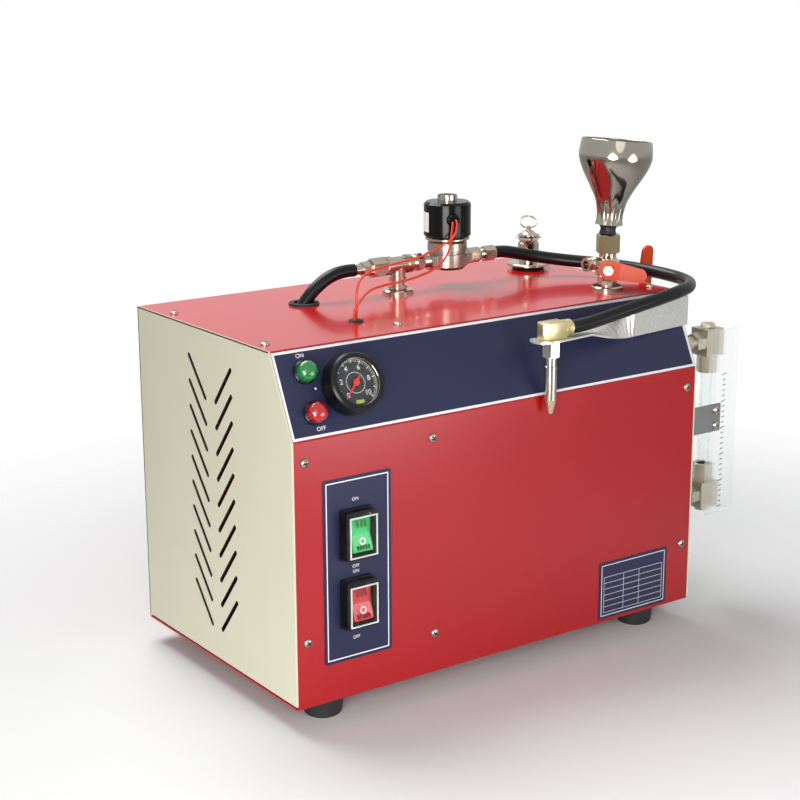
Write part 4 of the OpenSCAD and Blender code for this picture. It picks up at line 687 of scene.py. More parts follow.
@dataclass
class Hoses:
    """The two rubber hoses and the coil's two wires."""

    hose_d: float = 11.0
    wire_d: float = 2.0
    hose_facets: int = 6
    wire_facets: int = 3
    steps: int = 10
    steam: tuple = ((108, 41, 319), (114, 41, 319), (124, 40.3, 318), (138, 36.5, 315), (155, 27, 311.5),
                    (172, 13, 309), (188, -5, 307.5), (202, -26, 306), (212, -49, 304.5), (215, -73, 303.5),
                    (211, -96, 303), (198, -115, 303), (176, -127, 302.5), (150, -130, 299.5),
                    (124, -129, 295.5), (98, -127.5, 291), (77, -127, 288), (62, -127, 287), (55, -127, 287))
    gauge: tuple = ((-41, 41, 319), (-50, 41, 319), (-64, 41, 316.5), (-77, 42, 309), (-87, 43.5, 299),
                    (-95, 45, 286), (-103, 45, 270), (-111, 38, 252), (-121, 22, 238), (-132, -2, 229),
                    (-141, -30, 230), (-145, -52, 238.5), (-146, -71.5, 248))
    wires: tuple = (
        ((49.3, 18.7, 355.6), (48.4, 16.6, 355.6), (46.3, 13, 351.5), (41, 10, 344), (28, 8, 338),
         (4, 1, 333), (-24, -9, 332), (-54, -21, 332), (-78, -31, 330), (-88, -36, 325),
         (-91.5, -38, 316), (-92, -38.5, 306), (-92, -38.5, 297)),
        ((46.3, 19.9, 354), (45.4, 17.8, 354), (42, 14.5, 347), (39, 12, 338.5), (30, 6.5, 328),
         (14, 0, 321), (-8, -8, 318), (-34, -18, 317.5), (-60, -27, 318), (-80, -36.5, 316.5),
         (-91, -42, 311.5), (-96, -41.5, 304), (-96, -41.5, 297)))

    def run(self, name: str, route: Sequence[Sequence[float]], d: float, finish: Finish,
            stiffness: str, lay: str, node: str) -> bpy.types.Object:
        """Args:
            name: the piece's name.
            route: its points in millimetres.
            d: its diameter.
            finish: its material.
            stiffness: not used.
            lay: not used.
            node: the solid that it stands for.

        Returns:
            The piece.
        """
        curve = bpy.data.curves.new(name, "CURVE")
        curve.dimensions = "3D"
        curve.bevel_depth = d / 2 * MM
        curve.bevel_resolution = self.wire_facets if d == self.wire_d else self.hose_facets
        curve.resolution_u = self.steps
        curve.use_fill_caps = True
        spline = curve.splines.new("BEZIER")
        spline.bezier_points.add(len(route) - 1)
        points = [(Vector(p) + CASING_MID) * MM for p in route]
        for knot, point in zip(spline.bezier_points, points):
            knot.co = point
            knot.handle_left_type = knot.handle_right_type = "AUTO"
        curve.materials.append(finish.material())
        piece = put(name, curve)
        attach(piece, Body.CASING.value)
        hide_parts(node)
        bpy.context.view_layer.update()
        return piece

    def build(self) -> None:
        """Lays the hoses and the wires."""
        self.run("hose_steam_run", self.steam, self.hose_d, HOSE_RUBBER, "stiff", "loose", "steam_hose")
        self.run("hose_gauge_run", self.gauge, self.hose_d, HOSE_RUBBER, "stiff", "loose", "gauge_hose")
        for number, route in enumerate(self.wires, 1):
            self.run(f"coil_wire_{number}", route, self.wire_d, WIRE_PVC, "medium", "loose", "coil_wires")


# ---- casing


@dataclass
class Fasteners:
    """Pan-head screws with a cross recess, all over the casing."""

    head_d: float = 7.2
    head_h: float = 2.4
    inset: float = 11.0
    recess_w: float = 1.15
    recess_l: float = 4.4
    recess_deep: float = 1.3
    rim: float = 0.3
    front_rows: Pair = (195.0, 53.0)
    front_middle: Pair = (128.0, 195.0)
    front_low: Pair = (130.0, 33.0)
    top_back: float = 44.0
    top_front: float = 23.0
    top_front_right: float = 19.0
    top_middle_x: float = 133.0
    rear_rows: Pair = (30.0, 235.0)

    def places(self) -> list[Matrix]:
        """Where the screws sit, heads outwards."""
        side = HALF_W - self.inset
        upper, lower = self.front_rows
        front = [(-side, upper), (self.front_middle[0] - HALF_W, self.front_middle[1]), (side, upper),
                 (-side, lower), (self.front_low[0] - HALF_W, self.front_low[1]), (side, lower)]
        front = [(x, FLOOR_Z + up) for x, up in front]
        edge = FRONT_Y + SLOPE_RUN + self.top_front
        top = [(-side, BACK_Y - self.top_back), (-side, edge), (self.top_middle_x - HALF_W, edge),
               (side, FRONT_Y + SLOPE_RUN + self.top_front_right), (side, BACK_Y - self.top_back)]
        rear = [(x, FLOOR_Z + up) for x in (-side, 0, side) for up in self.rear_rows]
        return ([on_front(x, z) for x, z in front] + [shift(x, y, TOP_Z) for x, y in top]
                + [on_back(x, z) for x, z in rear])

    def head(self) -> Shape:
        """One screw head with its recess, standing on Z = 0."""
        r = self.head_d / 2
        crown = [(r * c, self.head_h * (self.rim + (1 - self.rim) * s))
                 for c, s in map(unit, range(0, 91, 15))]
        dome = lathe([(0, 0), (r - 0.2, 0), (r, 0.2)] + crown[:-1] + [(0, self.head_h)], 28)
        a, b = self.recess_l / 2, self.recess_w / 2
        cross = [(a, -b), (a, b), (b, b), (b, a), (-b, a), (-b, b),
                 (-a, b), (-a, -b), (-b, -b), (-b, -a), (b, -a), (b, -b)]
        tool = prism(cross, 3)
        tool.transform(shift(0, 0, self.head_h - self.recess_deep))
        return carved(dome, tool)

    def build(self) -> None:
        """Puts the screws in, each at its own turn."""
        heads = joined((self.head(), place @ turn(37 * number % 90, "Z"))
                       for number, place in enumerate(self.places()))
        add_piece("screw_heads", heads, MIDDLE, SCREW_NICKEL, stands_for="casing_screws")
        # Painted shade: a dark disc sunk on each recess floor.
        sunk = shift(0, 0, self.head_h - self.recess_deep)
        floors = joined((arc_band(0, self.recess_l / 2 + 0.1, 0, 360, 0.04), place @ sunk)
                        for place in self.places())
        add_piece("screw_recess_painted_shade", floors, MIDDLE, RECESS_SHADE)


@dataclass
class Fascia:
    """The printed film on the slope with its lamps and its pressure gauge."""

    margin: float = 1.5
    line: float = 2.0
    gauge_x: float = -146.0
    lamp_x: float = -180.0
    lamp_pitch: float = 31.5
    dial_level: float = 13.3
    lens_level: float = 16.8
    dial_r: float = 19.5
    lens_r: float = 7.9
    lens_h: float = 9.4
    flutes: int = 12
    flute_deep: float = 0.055
    legend: float = 4.6
    on_up: float = 13.0
    off_down: float = 12.0
    off_right: float = 3.0
    dot_r: float = 0.9
    dot_left: float = 27.5
    dot_up: float = 2.5
    first: float = 225.0
    sweep: float = -270.0
    count: int = 10
    strokes: int = 5
    long_stroke: Triple = (2.4, 0.75, 16.6)
    short_stroke: Triple = (1.4, 0.36, 17.0)
    number: float = 5.6
    number_r: float = 12.4
    ring_rs: Pair = (18.4, 8.0)
    ring_line: float = 0.32
    band: tuple[float, float, float, float] = (13.4, 16.2, 256.0, 284.0)

    def film_print(self) -> None:
        """White border, legends and index dot on the film."""
        w = 2 * (HALF_W - self.margin)
        h = SLOPE_LENGTH - 2 * self.margin
        add_piece("fascia_border", border(w, h, self.line, INK_T),
                  on_slope(0, SLOPE_MID, FILM_T), WHITE_INK)
        on_at = (self.lamp_x, SLOPE_MID + self.lamp_pitch / 2 + self.on_up)
        off_at = (self.lamp_x + self.off_right, SLOPE_MID - self.lamp_pitch / 2 - self.off_down)
        dot_at = (self.gauge_x - self.dot_left, SLOPE_MID + self.dot_up)
        marks = ((lettering("ON", self.legend, INK_T), on_at),
                 (lettering("OFF", self.legend, INK_T), off_at),
                 (arc_band(0, self.dot_r, 0, 360, INK_T), dot_at))
        words = joined((mark, on_slope(x, up, FILM_T)) for mark, (x, up) in marks)
        add_piece("fascia_legends", words, MIDDLE, WHITE_INK)

    def dial_print(self) -> None:
        """Numbers, strokes and rings on the dial."""
        place = on_slope(self.gauge_x, SLOPE_MID, self.dial_level)
        last = self.count * self.strokes
        marks = []
        for step in range(last + 1):
            length, line, r = self.short_stroke if step % self.strokes else self.long_stroke
            angle = self.first + self.sweep * step / last
            marks.append((bar(length, line, INK_T), turn(angle, "Z") @ shift(r, 0, 0)))
        for number in range(0, self.count + 1, 2):
            c, s = unit(self.first + self.sweep * number / self.count)
            marks.append((lettering(str(number), self.number, INK_T),
                          shift(self.number_r * c, self.number_r * s, 0)))
        half = self.ring_line / 2
        for r in self.ring_rs:
            marks.append((arc_band(r - half, r + half, 0, 360, INK_T), shift(0, 0, 0)))
        add_piece("dial_scale", joined(marks), place, DIAL_INK)
        add_piece("dial_band", arc_band(*self.band, INK_T), place, DIAL_BAND)

    def trims(self) -> None:
        """The gauge's bright ring, the needle's hub and the lamps' domed lenses."""
        gauge = on_slope(self.gauge_x, SLOPE_MID, self.lens_level)
        r = self.dial_r
        ring = lathe([(r - 1.4, 0), (r - 0.5, 0), (r - 0.25, 0.35), (r - 0.5, 0.7), (r - 1.1, 0.75),
                      (r - 1.4, 0.5), (r - 1.4, 0)], 72)
        add_piece("gauge_ring", ring, gauge, POLISHED_NICKEL)
        hub = lathe([(0, 0), (2.6, 0), (2.6, 0.7), (2.2, 1.0), (0, 1.1)], 28)
        add_piece("needle_hub", hub, on_slope(self.gauge_x, SLOPE_MID, self.dial_level + 1.1),
                  NEEDLE_RED, Body.NEEDLE)
        for node, side, finish in (("green_lens", 1, GREEN_LENS), ("red_lens", -1, RED_LENS)):
            seat = on_slope(self.lamp_x, SLOPE_MID + side * self.lamp_pitch / 2, 3.0)
            add_piece(f"{node}_dome", self.lens_dome(), seat, finish, stands_for=node)

    def lens_dome(self) -> Shape:
        """A lamp's moulded lens: fluted wall, rounded crown."""
        r, wall = self.lens_r, self.lens_h * 0.5
        crown = [(r * c, wall + (self.lens_h - wall) * s) for c, s in map(unit, range(0, 90, 12))]
        shape = lathe([(0, 0), (r, 0), (r, wall * 0.5)] + crown + [(0, self.lens_h)], 96)
        for vert in shape.verts:
            angle = math.atan2(vert.co.y, vert.co.x)
            ease = min(1.0, vert.co.xy.length / r) * (1 - 0.6 * vert.co.z / self.lens_h)
            vert.co.xy *= 1 - self.flute_deep * ease * abs(math.sin(self.flutes * angle / 2))
        return shape

    def build(self) -> None:
        """Prints the film and the dial and sets the trims."""
        self.film_print()
        self.dial_print()
        self.trims()


@dataclass
class SwitchPlate:
    """The switches' plate with its legends, the clear boots and the marks on the rockers."""

    x: float = -148.0
    z: float = 124.25
    w: float = 62.0
    h: float = 147.5
    switch_x: float = -150.0
    switch_zs: Pair = (152.5, 97.0)
    axis_out: float = 2.0
    tip: float = 10.0
    face: float = 7.4
    rocker_h: float = 27.0
    margin: float = 5.0
    line: float = 0.9
    legend: float = 3.7
    legend_offs: tuple[Pair, ...] = ((27.0, -26.6), (24.7, -29.0))
    boot_rings: tuple[Triple, ...] = ((14.2, 19.6, 4.2), (13.9, 18.8, 8.0), (13.0, 17.0, 11.6),
                                      (12.4, 16.2, 12.4))
    boot_wall: float = 0.7
    corner_share: float = 0.2
    lip: Triple = (25.0, 32.6, 1.1)
    lip_z: float = 11.9

    def build(self) -> None:
        """Prints the plate, marks the rockers and covers them."""
        frame_line = border(self.w - self.margin, self.h - self.margin, self.line, INK_T)
        add_piece("switch_plate_border", frame_line, on_front(self.x, self.z, FILM_T), WHITE_INK)
        words = joined((lettering(text, self.legend, INK_T),
                        on_front(self.switch_x, z + off, FILM_T))
                       for z, offs in zip(self.switch_zs, self.legend_offs)
                       for text, off in zip(("ON", "OFF"), offs))
        add_piece("switch_legends", words, MIDDLE, WHITE_INK)
        shells, highlight_rims = [], []
        for z, body in zip(self.switch_zs, (Body.PEDAL_ROCKER, Body.POWER_ROCKER)):
            self.marks(z, body)
            shell, lip = self.boot()
            shells.append((shell, on_front(self.switch_x, z)))
            highlight_rims.append((lip, on_front(self.switch_x, z)))
        for name, parts, finish in (("switch_boot_shells", shells, CLEAR_PVC),
                                    ("switch_boot_highlight_rims", highlight_rims, PVC_HIGHLIGHT_LIP)):
            add_piece(name, joined(parts), MIDDLE, finish, stands_for="switch_boots")

    def boot(self) -> tuple[Shape, Shape]:
        """A clear boot that draws in towards its face, and the lip round that face, a painted highlight.

        Returns:
            The shell and the lip, both standing on the plate.
        """
        shape = bmesh.new()
        rings = []
        for half_w, half_h, z in self.boot_rings:
            cut = half_w * self.corner_share
            corners = [(half_w, half_h - cut), (half_w - cut, half_h), (cut - half_w, half_h),
                       (-half_w, half_h - cut), (-half_w, cut - half_h), (cut - half_w, -half_h),
                       (half_w - cut, -half_h), (half_w, cut - half_h)]
            rings.append([shape.verts.new((x, y, z)) for x, y in corners])
        for low, high in zip(rings, rings[1:]):
            bridge(shape, low, high)
        shape.faces.new(rings[-1])
        bmesh.ops.recalc_face_normals(shape, faces=shape.faces)
        bmesh.ops.solidify(shape, geom=shape.faces[:], thickness=self.boot_wall)
        lip = border(*self.lip, self.boot_wall)
        lip.transform(shift(0, 0, self.lip_z))
        return shape, lip

    def marks(self, z: float, body: Body) -> None:
        """White ring and finger ribs on one rocker, the ribs coloured a darker copy of the rocker's plastic:
        painted shade.

        Args:
            z: height of the switch.
            body: the rocker.
        """
        tipped = on_front(self.switch_x, z, self.axis_out) @ turn(-self.tip, "X")
        half = self.rocker_h / 2
        ring = arc_band(1.9, 2.9, 0, 360, 0.2)
        below = shift(0, -half * 0.4, self.face - 0.1)
        add_piece(f"{body.value}_mark", ring, tipped @ below, WHITE_INK, body)
        finish = GREEN_RIB_SHADE if body is Body.PEDAL_ROCKER else RED_RIB_SHADE
        ribs = [(bar(1.0, 3.6, 1.0, 0.2), shift(2.5 * k, 3.4 - half, self.face + 0.1)) for k in range(-2, 3)]
        ribs += [(bar(1.2, 6.0, 1.0, 0.2), shift(3.6 * k, half - 5.2, self.face + 0.1)) for k in range(-1, 2)]
        add_piece(f"{body.value}_ribs", joined(ribs), tipped, finish, body)


@dataclass
class RatingPlate:
    """The bare ruled plate low on the front."""

    x: float = 138.0
    z: float = 48.5
    w: float = 78.0
    h: float = 51.0
    rows: int = 6
    margin: float = 5.0
    line: float = 0.6
    rule: float = 0.3
    rule_margin: float = 3.0
    head_h: float = 8.0
    columns: tuple[float, ...] = (-1 / 2, -1 / 6, 1 / 10, 1 / 2)

    def build(self) -> None:
        """Prints the plate's border and its empty rules."""
        inner_w, inner_h = self.w - self.margin, self.h - self.margin
        place = on_front(self.x, self.z, FILM_T)
        frame_line = border(inner_w, inner_h, self.line, INK_T)
        add_piece("rating_plate_border", frame_line, place, WHITE_INK)
        table_w = inner_w - 2 * self.rule_margin
        table_h = inner_h - 2 * self.rule_margin - self.head_h
        low = self.rule_margin - inner_h / 2
        rules = [(bar(table_w, self.rule, INK_T), shift(0, low + table_h / self.rows * k, 0))
                 for k in range(self.rows + 1)]
        rules += [(bar(self.rule, table_h, INK_T), shift(table_w * share, low + table_h / 2, 0))
                  for share in self.columns]
        add_piece("rating_plate_rules", joined(rules), place, WHITE_INK)


# ---- pipework


def thread_rings(r: float, length: float, pitch: float = 1.4, depth: float = 0.5) -> Shape:
    """A pipe thread as a row of sharp ridges along Z.

    Args:
        r: radius of the crests.
        length: length of the threaded stretch.
        pitch: distance between two crests.
        depth: depth of the thread.

    Returns:
        The thread's skin, closed by its inner wall.
    """
    turns = max(2, round(length / pitch))
    step = length / turns
    outline = [(r - depth, 0.0)]
    for k in range(turns):
        outline += [(r, step * (k + 0.4)), (r, step * (k + 0.6)), (r - depth, step * (k + 1.0))]
    inner = r - depth - 0.3
    return lathe([(inner, 0)] + outline + [(inner, length), (inner, 0)], 40)


@dataclass
class SteamTrain:
    """The electric steam valve and the fittings in line with it."""

    run_y: float = 41.0
    run_z: float = 319.0
    valve_x: float = 57.0
    coil_z0: float = 338.8
    coil_r: float = 20.5
    lead_turn: float = 23.0
    lead_z: float = 355.6
    nut_z: float = 369.45
    nut_af: float = 15.2
    nut_h: float = 5.6
    nut_turn: float = 12.0
    slot_w: float = 2.4
    slot_deep: float = 1.6
    label_zs: Pair = (5.0, 22.0)
    label_arc: Pair = (62.0, 120.0)
    ring_z: float = 336.2
    seam_zs: Pair = (1.6, 26.4)
    threads: tuple[tuple[float, ...], ...] = ((17.2, 6.35, 4.6), (25.2, 6.35, 10.4),
                                              (91.6, 4.4, 4.2, 1.2, 0.35))
    riser_x: float = 4.0
    riser_up: float = 3.4

    def build(self) -> None:
        """Dresses the coil and the pipe run."""
        self.coil()
        self.run()

    def coil(self) -> None:
        """The coil's label, lead boss, moulding seams, slotted nut and yoke ring."""
        middle = shift(self.valve_x, self.run_y, 0)
        axis = middle @ shift(0, 0, self.coil_z0)
        r, (low, high) = self.coil_r, self.label_zs
        label = lathe([(r + 0.02, low), (r + 0.02, high), (r + 0.16, high), (r + 0.16, low), (r + 0.02, low)],
                      24, *self.label_arc)
        add_piece("coil_label", label, axis, LABEL_PAPER)
        lead = turn(-self.lead_turn, "Z") @ shift(0, -r - 0.6, self.lead_z - self.coil_z0) @ turn(90, "X")
        boss = lathe([(0, 2.2), (2.6, 2.2), (2.9, 3.0), (3.6, 3.3), (5.0, 2.6), (5.6, 1.4), (5.7, 0.0),
                      (5.7, -1.2), (0, -1.2)], 36)
        add_piece("coil_lead_boss", boss, axis @ lead, COIL_PHENOLIC)
        ridge = [(r - 0.6, 0), (r + 0.22, 0.25), (r + 0.22, 1.0), (r - 0.6, 1.25), (r - 0.6, 0)]
        seams = joined((lathe(ridge, 64), shift(0, 0, z)) for z in self.seam_zs)
        add_piece("coil_seams", seams, axis, COIL_PHENOLIC)
        slot = bar(20.0, self.slot_w, 4.0)
        slot.transform(shift(0, 0, self.nut_h - self.slot_deep))
        nut = carved(hexagon(self.nut_af, self.nut_h), slot)
        nut_at = middle @ shift(0, 0, self.nut_z) @ turn(self.nut_turn, "Z")
        add_piece("coil_nut", nut, nut_at, BLACK_STEEL)
        ring = lathe([(12.5, 0), (19.0, 0), (19.4, 0.5), (19.4, 1.5), (19.0, 2.0), (12.5, 2.0),
                      (12.5, 0)], 56)
        add_piece("coil_yoke_ring", ring, middle @ shift(0, 0, self.ring_z), SCREW_NICKEL)

    def run(self) -> None:
        """The threads of the fittings and the collar at the riser's foot."""
        threads = joined((thread_rings(*sizes), shift(x, self.run_y, self.run_z) @ pointing_x())
                         for x, *sizes in self.threads)
        add_piece("run_threads", threads, MIDDLE, POLISHED_NICKEL)
        collar = lathe([(6.3, 0), (7.8, 0), (8.2, 0.5), (8.2, 2.6), (7.8, 3.1), (6.3, 3.1), (6.3, 0)], 40)
        foot = shift(self.riser_x, self.run_y, TOP_Z + self.riser_up)
        add_piece("riser_collar", collar, foot, POLISHED_NICKEL)


@dataclass
class Filler:
    """The filling funnel on its ball valve."""

    x: float = 159.0
    y: float = -54.0
    foot_z: float = 351.0
    lean: float = 6.0
    height: float = 74.5
    lip_z: float = 72.5
    rings: int = 44
    neck_h: float = 14.0
    neck_r: float = 12.0
    wide_r: float = 31.5
    wall: float = 0.8
    flutes: int = 9
    flute_deep: float = 1.5
    waist: float = 1.0
    wide_share: float = 0.78
    lip_in: float = 2.0
    roll_r: float = 0.55
    vent_z: float = 318.5
    vent_out: float = 17.5
    nut_z: float = 322.2

    def radius(self, z: float) -> float:
        """Outer radius of the bowl at a height above its foot."""
        wide = self.height * self.wide_share
        if z < self.neck_h:
            return self.neck_r - self.waist * math.sin(math.pi * z / self.neck_h)
        if z < wide:
            t = (z - self.neck_h) / (wide - self.neck_h)
            return self.neck_r + (self.wide_r - self.neck_r) * (0.35 * t + 0.65 * (3 * t * t - 2 * t ** 3))
        return self.wide_r - self.lip_in * ((z - wide) / (self.height - wide)) ** 2

    def bowl(self) -> Shape:
        """The bowl of spun sheet, its neck crimped into soft flutes and its lip rolled."""
        heights = [self.lip_z * k / self.rings for k in range(self.rings + 1)]
        outer = [(self.radius(z), z) for z in heights]
        lip_r, lip_z = outer[-1]
        roll = [(lip_r - self.wall / 2 + self.roll_r * s, lip_z - self.roll_r + self.roll_r * c)
                for c, s in map(unit, range(60, -181, -40))]
        inner = [(r - self.wall, z) for r, z in reversed(outer[:-1])]
        shape = lathe(outer[:-1] + roll + inner + [outer[0]], 108)
        for vert in shape.verts:
            flat = vert.co.xy.length
            angle = math.atan2(vert.co.y, vert.co.x)
            fade = max(0.0, 1 - abs(vert.co.z - 0.6 * self.neck_h) / (self.neck_h * 1.5))
            crimp = self.flute_deep * fade * fade * (3 - 2 * fade)
            grown = flat + crimp * (math.cos(self.flutes * angle) - 0.6) * 0.6
            vert.co.xy *= grown / flat
        return shape

    def build(self) -> None:
        """Sets the bowl in place of its solid and threads the valve."""
        place = shift(self.x, self.y, self.foot_z) @ turn(self.lean, "Y")
        add_piece("funnel_bowl", self.bowl(), place, FUNNEL_STEEL, stands_for="funnel")
        stopper = lathe([(4.5, -7.9), (7.6, -7.9), (6.9, -5.6), (6.5, -3.4), (7.4, -1.2), (9.0, -0.4),
                         (8.7, 3.0), (8.0, 9.5), (4.5, 9.5), (4.5, -7.9)], 48)
        add_piece("funnel_stopper", stopper, place, STOPPER_RUBBER, stands_for="funnel_seal")
        side = shift(self.x, self.y, self.vent_z) @ turn(-90, "Y")
        threads = [(thread_rings(5.5, 3.4), side @ shift(0, 0, self.vent_out)),
                   (thread_rings(7.55, 4.6), shift(self.x, self.y, self.nut_z))]
        add_piece("filler_threads", joined(threads), MIDDLE, POLISHED_NICKEL)


@dataclass
class LevelGuard:
    """Short strokes on the level gauge's clear guard, and the screws that hold it."""

    pitch: float = 4.9
    count: int = 26
    long_every: int = 5
    stroke_ls: Pair = (5.4, 3.2)
    stroke_w: float = 0.7
    ink_t: float = 0.08
    lean: float = 14.0
    below_top: float = 40.0
    x: float = 253.5
    screw_x: float = 243.0
    screw_zs: Pair = (170.5, 184.5)
    screw_turn: float = 25.0
    plate_in: float = 1.9

    def build(self) -> None:
        """Prints the strokes on the guard's near cheek and sets the screws."""
        low, high = box_mm("level_guard")
        near, top = low.y - CASING_MID.y, high.z - self.below_top
        strokes = joined((bar(self.stroke_ls[bool(k % self.long_every)], self.stroke_w, self.ink_t),
                          shift(self.x, near, top - self.pitch * k) @ turn(90, "X") @ turn(self.lean, "Z"))
                         for k in range(self.count))
        add_piece("level_strokes", strokes, MIDDLE, BLACK_ABS)
        face = box_mm("guard_brackets")[0].y - CASING_MID.y + self.plate_in
        turned = turn(90, "X") @ turn(self.screw_turn, "Z")
        heads = joined((Fasteners().head(), shift(self.screw_x, face, z) @ turned) for z in self.screw_zs)
        add_piece("guard_screw_heads", heads, MIDDLE, SCREW_NICKEL)


@dataclass
class Nozzle:
    """The brass elbow, the steam tip under it and the rounded end of the strip."""

    x: float = 35.0
    out: float = 7.0
    below: float = 8.0
    w: float = 14.0
    left: float = 11.0
    strip_t: float = 1.6
    nose: float = 8.0
    nose_w: float = 21.0
    nose_power: float = 0.8
    nut_h: float = 13.0
    nut_af: float = 13.4
    nut_turn: float = 21.0
    tube_r: float = 5.25
    tip_l: float = 60.0

    def build(self) -> None:
        """Makes the elbow, the tip and the strip's end."""
        at = shift(self.x, FRONT_Y - self.out, TOP_Z - self.below)
        half = self.w / 2
        self.elbow(at)
        self.tip(at @ shift(0, 0, -half - self.strip_t))
        nose_half = self.nose_w / 2 - 0.05
        rim = [(-self.nose * s ** self.nose_power, nose_half * c) for c, s in map(unit, range(0, 181, 12))]
        end_plate = prism(rim + [(2.0, -nose_half), (2.0, nose_half)], self.strip_t - 0.04)
        nose_at = at @ shift(1.0 - self.left, 0, 0.02 - half - self.strip_t)
        add_piece("strip_end", end_plate, nose_at, STRIP_STEEL)

    def elbow(self, at: Matrix) -> None:
        """The forged block with its cut corners and the ferrule that grips the hose."""
        w, a = self.w / 2, self.left
        small, large = 2.6, 4.2
        plan = [(a, -w), (a, w), (small - a, w), (-a, w - small), (-a, large - w), (large - a, -w)]
        add_piece("elbow_block", prism(plan, self.w, 0.8), at @ shift(0, 0, -w), RAW_BRASS,
                  stands_for="nozzle_elbow")
        collar = [(0, 0), (5.6, 0), (6.9, 0.5), (6.9, 3.4), (6.3, 4.0), (5.8, 4.0), (5.8, 4.6), (0, 4.6)]
        neck = joined([(hexagon(12.6, 4.4), shift(a - 0.2, 0, 0) @ pointing_x()),
                       (lathe(collar, 44), shift(a + 4.2, 0, 0) @ pointing_x())])
        add_piece("elbow_ferrule", neck, at, RAW_BRASS, stands_for="nozzle_elbow")

    def tip(self, under: Matrix) -> None:
        """The nut, the stepped tube and the pierced cone, hanging below a place."""
        r, n, end = self.tube_r, -self.nut_h, -self.tip_l
        tube = [(0, n + 0.5), (r + 0.5, n + 0.5), (r + 0.5, n - 1.2), (r - 0.3, n - 1.6), (r - 0.3, n - 7.2),
                (r + 0.4, n - 7.7), (r + 0.4, n - 9.6), (r, n - 10.1), (r, end + 12), (0, end + 12)]
        cone = [(0, end + 12.1), (r - 0.1, end + 12.1), (r - 0.4, end + 10.4), (2.5, end + 0.8), (2.1, end),
                (1.2, end), (1.2, end + 3), (0, end + 3)]
        nut_at = under @ shift(0, 0, n) @ turn(self.nut_turn, "Z")
        for name, shape, place, finish in (("tip_nut", hexagon(self.nut_af, self.nut_h), nut_at, TIP_CHROME),
                                           ("tip_tube", lathe(tube, 56), under, TIP_CHROME),
                                           ("tip_cone", lathe(cone, 56), under, TIP_BRASS)):
            add_piece(name, shape, place, finish, stands_for="nozzle_tip")


@dataclass
class SafetyValve:
    """Gasket, lifting cap and cap pin of the safety valve."""

    x: float = 167.5
    y: float = 64.0
    pin: tuple[float, float, float, float] = (23.4, 1.7, 1.3, 0.5)
    pin_z: float = 28.0
    pin_turn: float = -35.0
    knob_z: float = 37.5

    def build(self) -> None:
        """Adds the gasket under the disc, the cap on the stem and the pin through the body."""
        foot = shift(self.x, self.y, TOP_Z)
        gasket = lathe([(11.7, 0.1), (14.4, 0.1), (15.6, 3.4), (11.7, 3.4), (11.7, 0.1)], 56)
        add_piece("safety_gasket", gasket, foot, STOPPER_RUBBER)
        plate = [(1.8, 29.6), (8.9, 29.6), (10.2, 30.6), (10.2, 31.4), (8.0, 32.2), (5.4, 33.6), (4.6, 35.0),
                 (2.2, 35.6), (1.9, 36.4), (0, 36.4), (0, 29.6), (1.8, 29.6)]
        knob = [(0, -2.3), (1.6, -1.6), (2.3, 0), (1.6, 1.6), (0, 2.2)]
        cap = joined([(lathe(plate, 48), shift(0, 0, 0)), (lathe(knob, 24), shift(0, 0, self.knob_z))])
        add_piece("safety_cap", cap, foot, POLISHED_NICKEL, Body.SAFETY_STEM, "safety_valve_stem")
        across = foot @ turn(self.pin_turn, "Z") @ shift(0, 0, self.pin_z)
        add_piece("safety_cap_pin", bar(*self.pin), across, POLISHED_NICKEL)


@dataclass
class Seams:
    """Painted shade: dark strips where the cream sides stand inside the red sheet, and dark walls in their
    slots, for the shade that falls in those gaps and slots.
    """

    line: float = 1.2
    proud: float = 0.04
    sheet: float = 1.5
    slot_l: float = 43.0
    slot_w: float = 4.0
    slot_off: float = 20.5
    slot_angle: float = 51.0
    slot_pitch: float = 21.1
    first_slot: float = 45.0
    rows: tuple[int, int] = (10, 8)
    skin: float = 0.12

    def slot_edge(self) -> Shape:
        """The wall of one slot: a thin upright skin, its length along Y and its depth along Z."""
        middle = (self.slot_l - self.slot_w) / 2
        loops = []
        for r in (self.slot_w / 2 - self.proud, self.slot_w / 2 - self.proud - self.skin):
            loops.append([(r * c, end * middle + r * s) for end, first in ((1, 0), (-1, 180))
                          for c, s in (unit(first + 22.5 * k) for k in range(9))])
        return band_between(*loops, self.sheet - 2 * self.proud)

    def build(self) -> None:
        """Lays a thin strip of painted shade along the top and the back of each side, and painted shade on
        the wall of every slot.
        """
        slope_edge = FRONT_Y + SLOPE_RUN
        depth = BACK_Y - slope_edge
        parts = []
        for side in (-1, 1):
            outer = side * HALF_W
            parts.append((bar(2 * self.proud, depth, self.line),
                          shift(outer, (BACK_Y + slope_edge) / 2, TOP_Z - self.line)))
            parts.append((bar(2 * self.proud, self.line, TOP_Z - FLOOR_Z),
                          shift(outer, BACK_Y - self.line / 2, FLOOR_Z)))
        add_piece("side_edge_shade", joined(parts), MIDDLE, SEAM_SHADE)
        edges = []
        for side, rows in zip((-1, 1), self.rows):
            x = -HALF_W + self.proud if side < 0 else HALF_W - self.sheet + self.proud
            for row in range(rows):
                z = FLOOR_Z + self.first_slot + row * self.slot_pitch
                for column in (-1, 1):
                    edges.append((self.slot_edge(), shift(x, column * self.slot_off, z)
                                  @ turn(column * self.slot_angle, "X") @ turn(90, "Y")))
        # Painted shade on the slot walls.
        add_piece("slot_wall_shade", joined(edges), MIDDLE, SLOT_SHADE)


# ---- studio


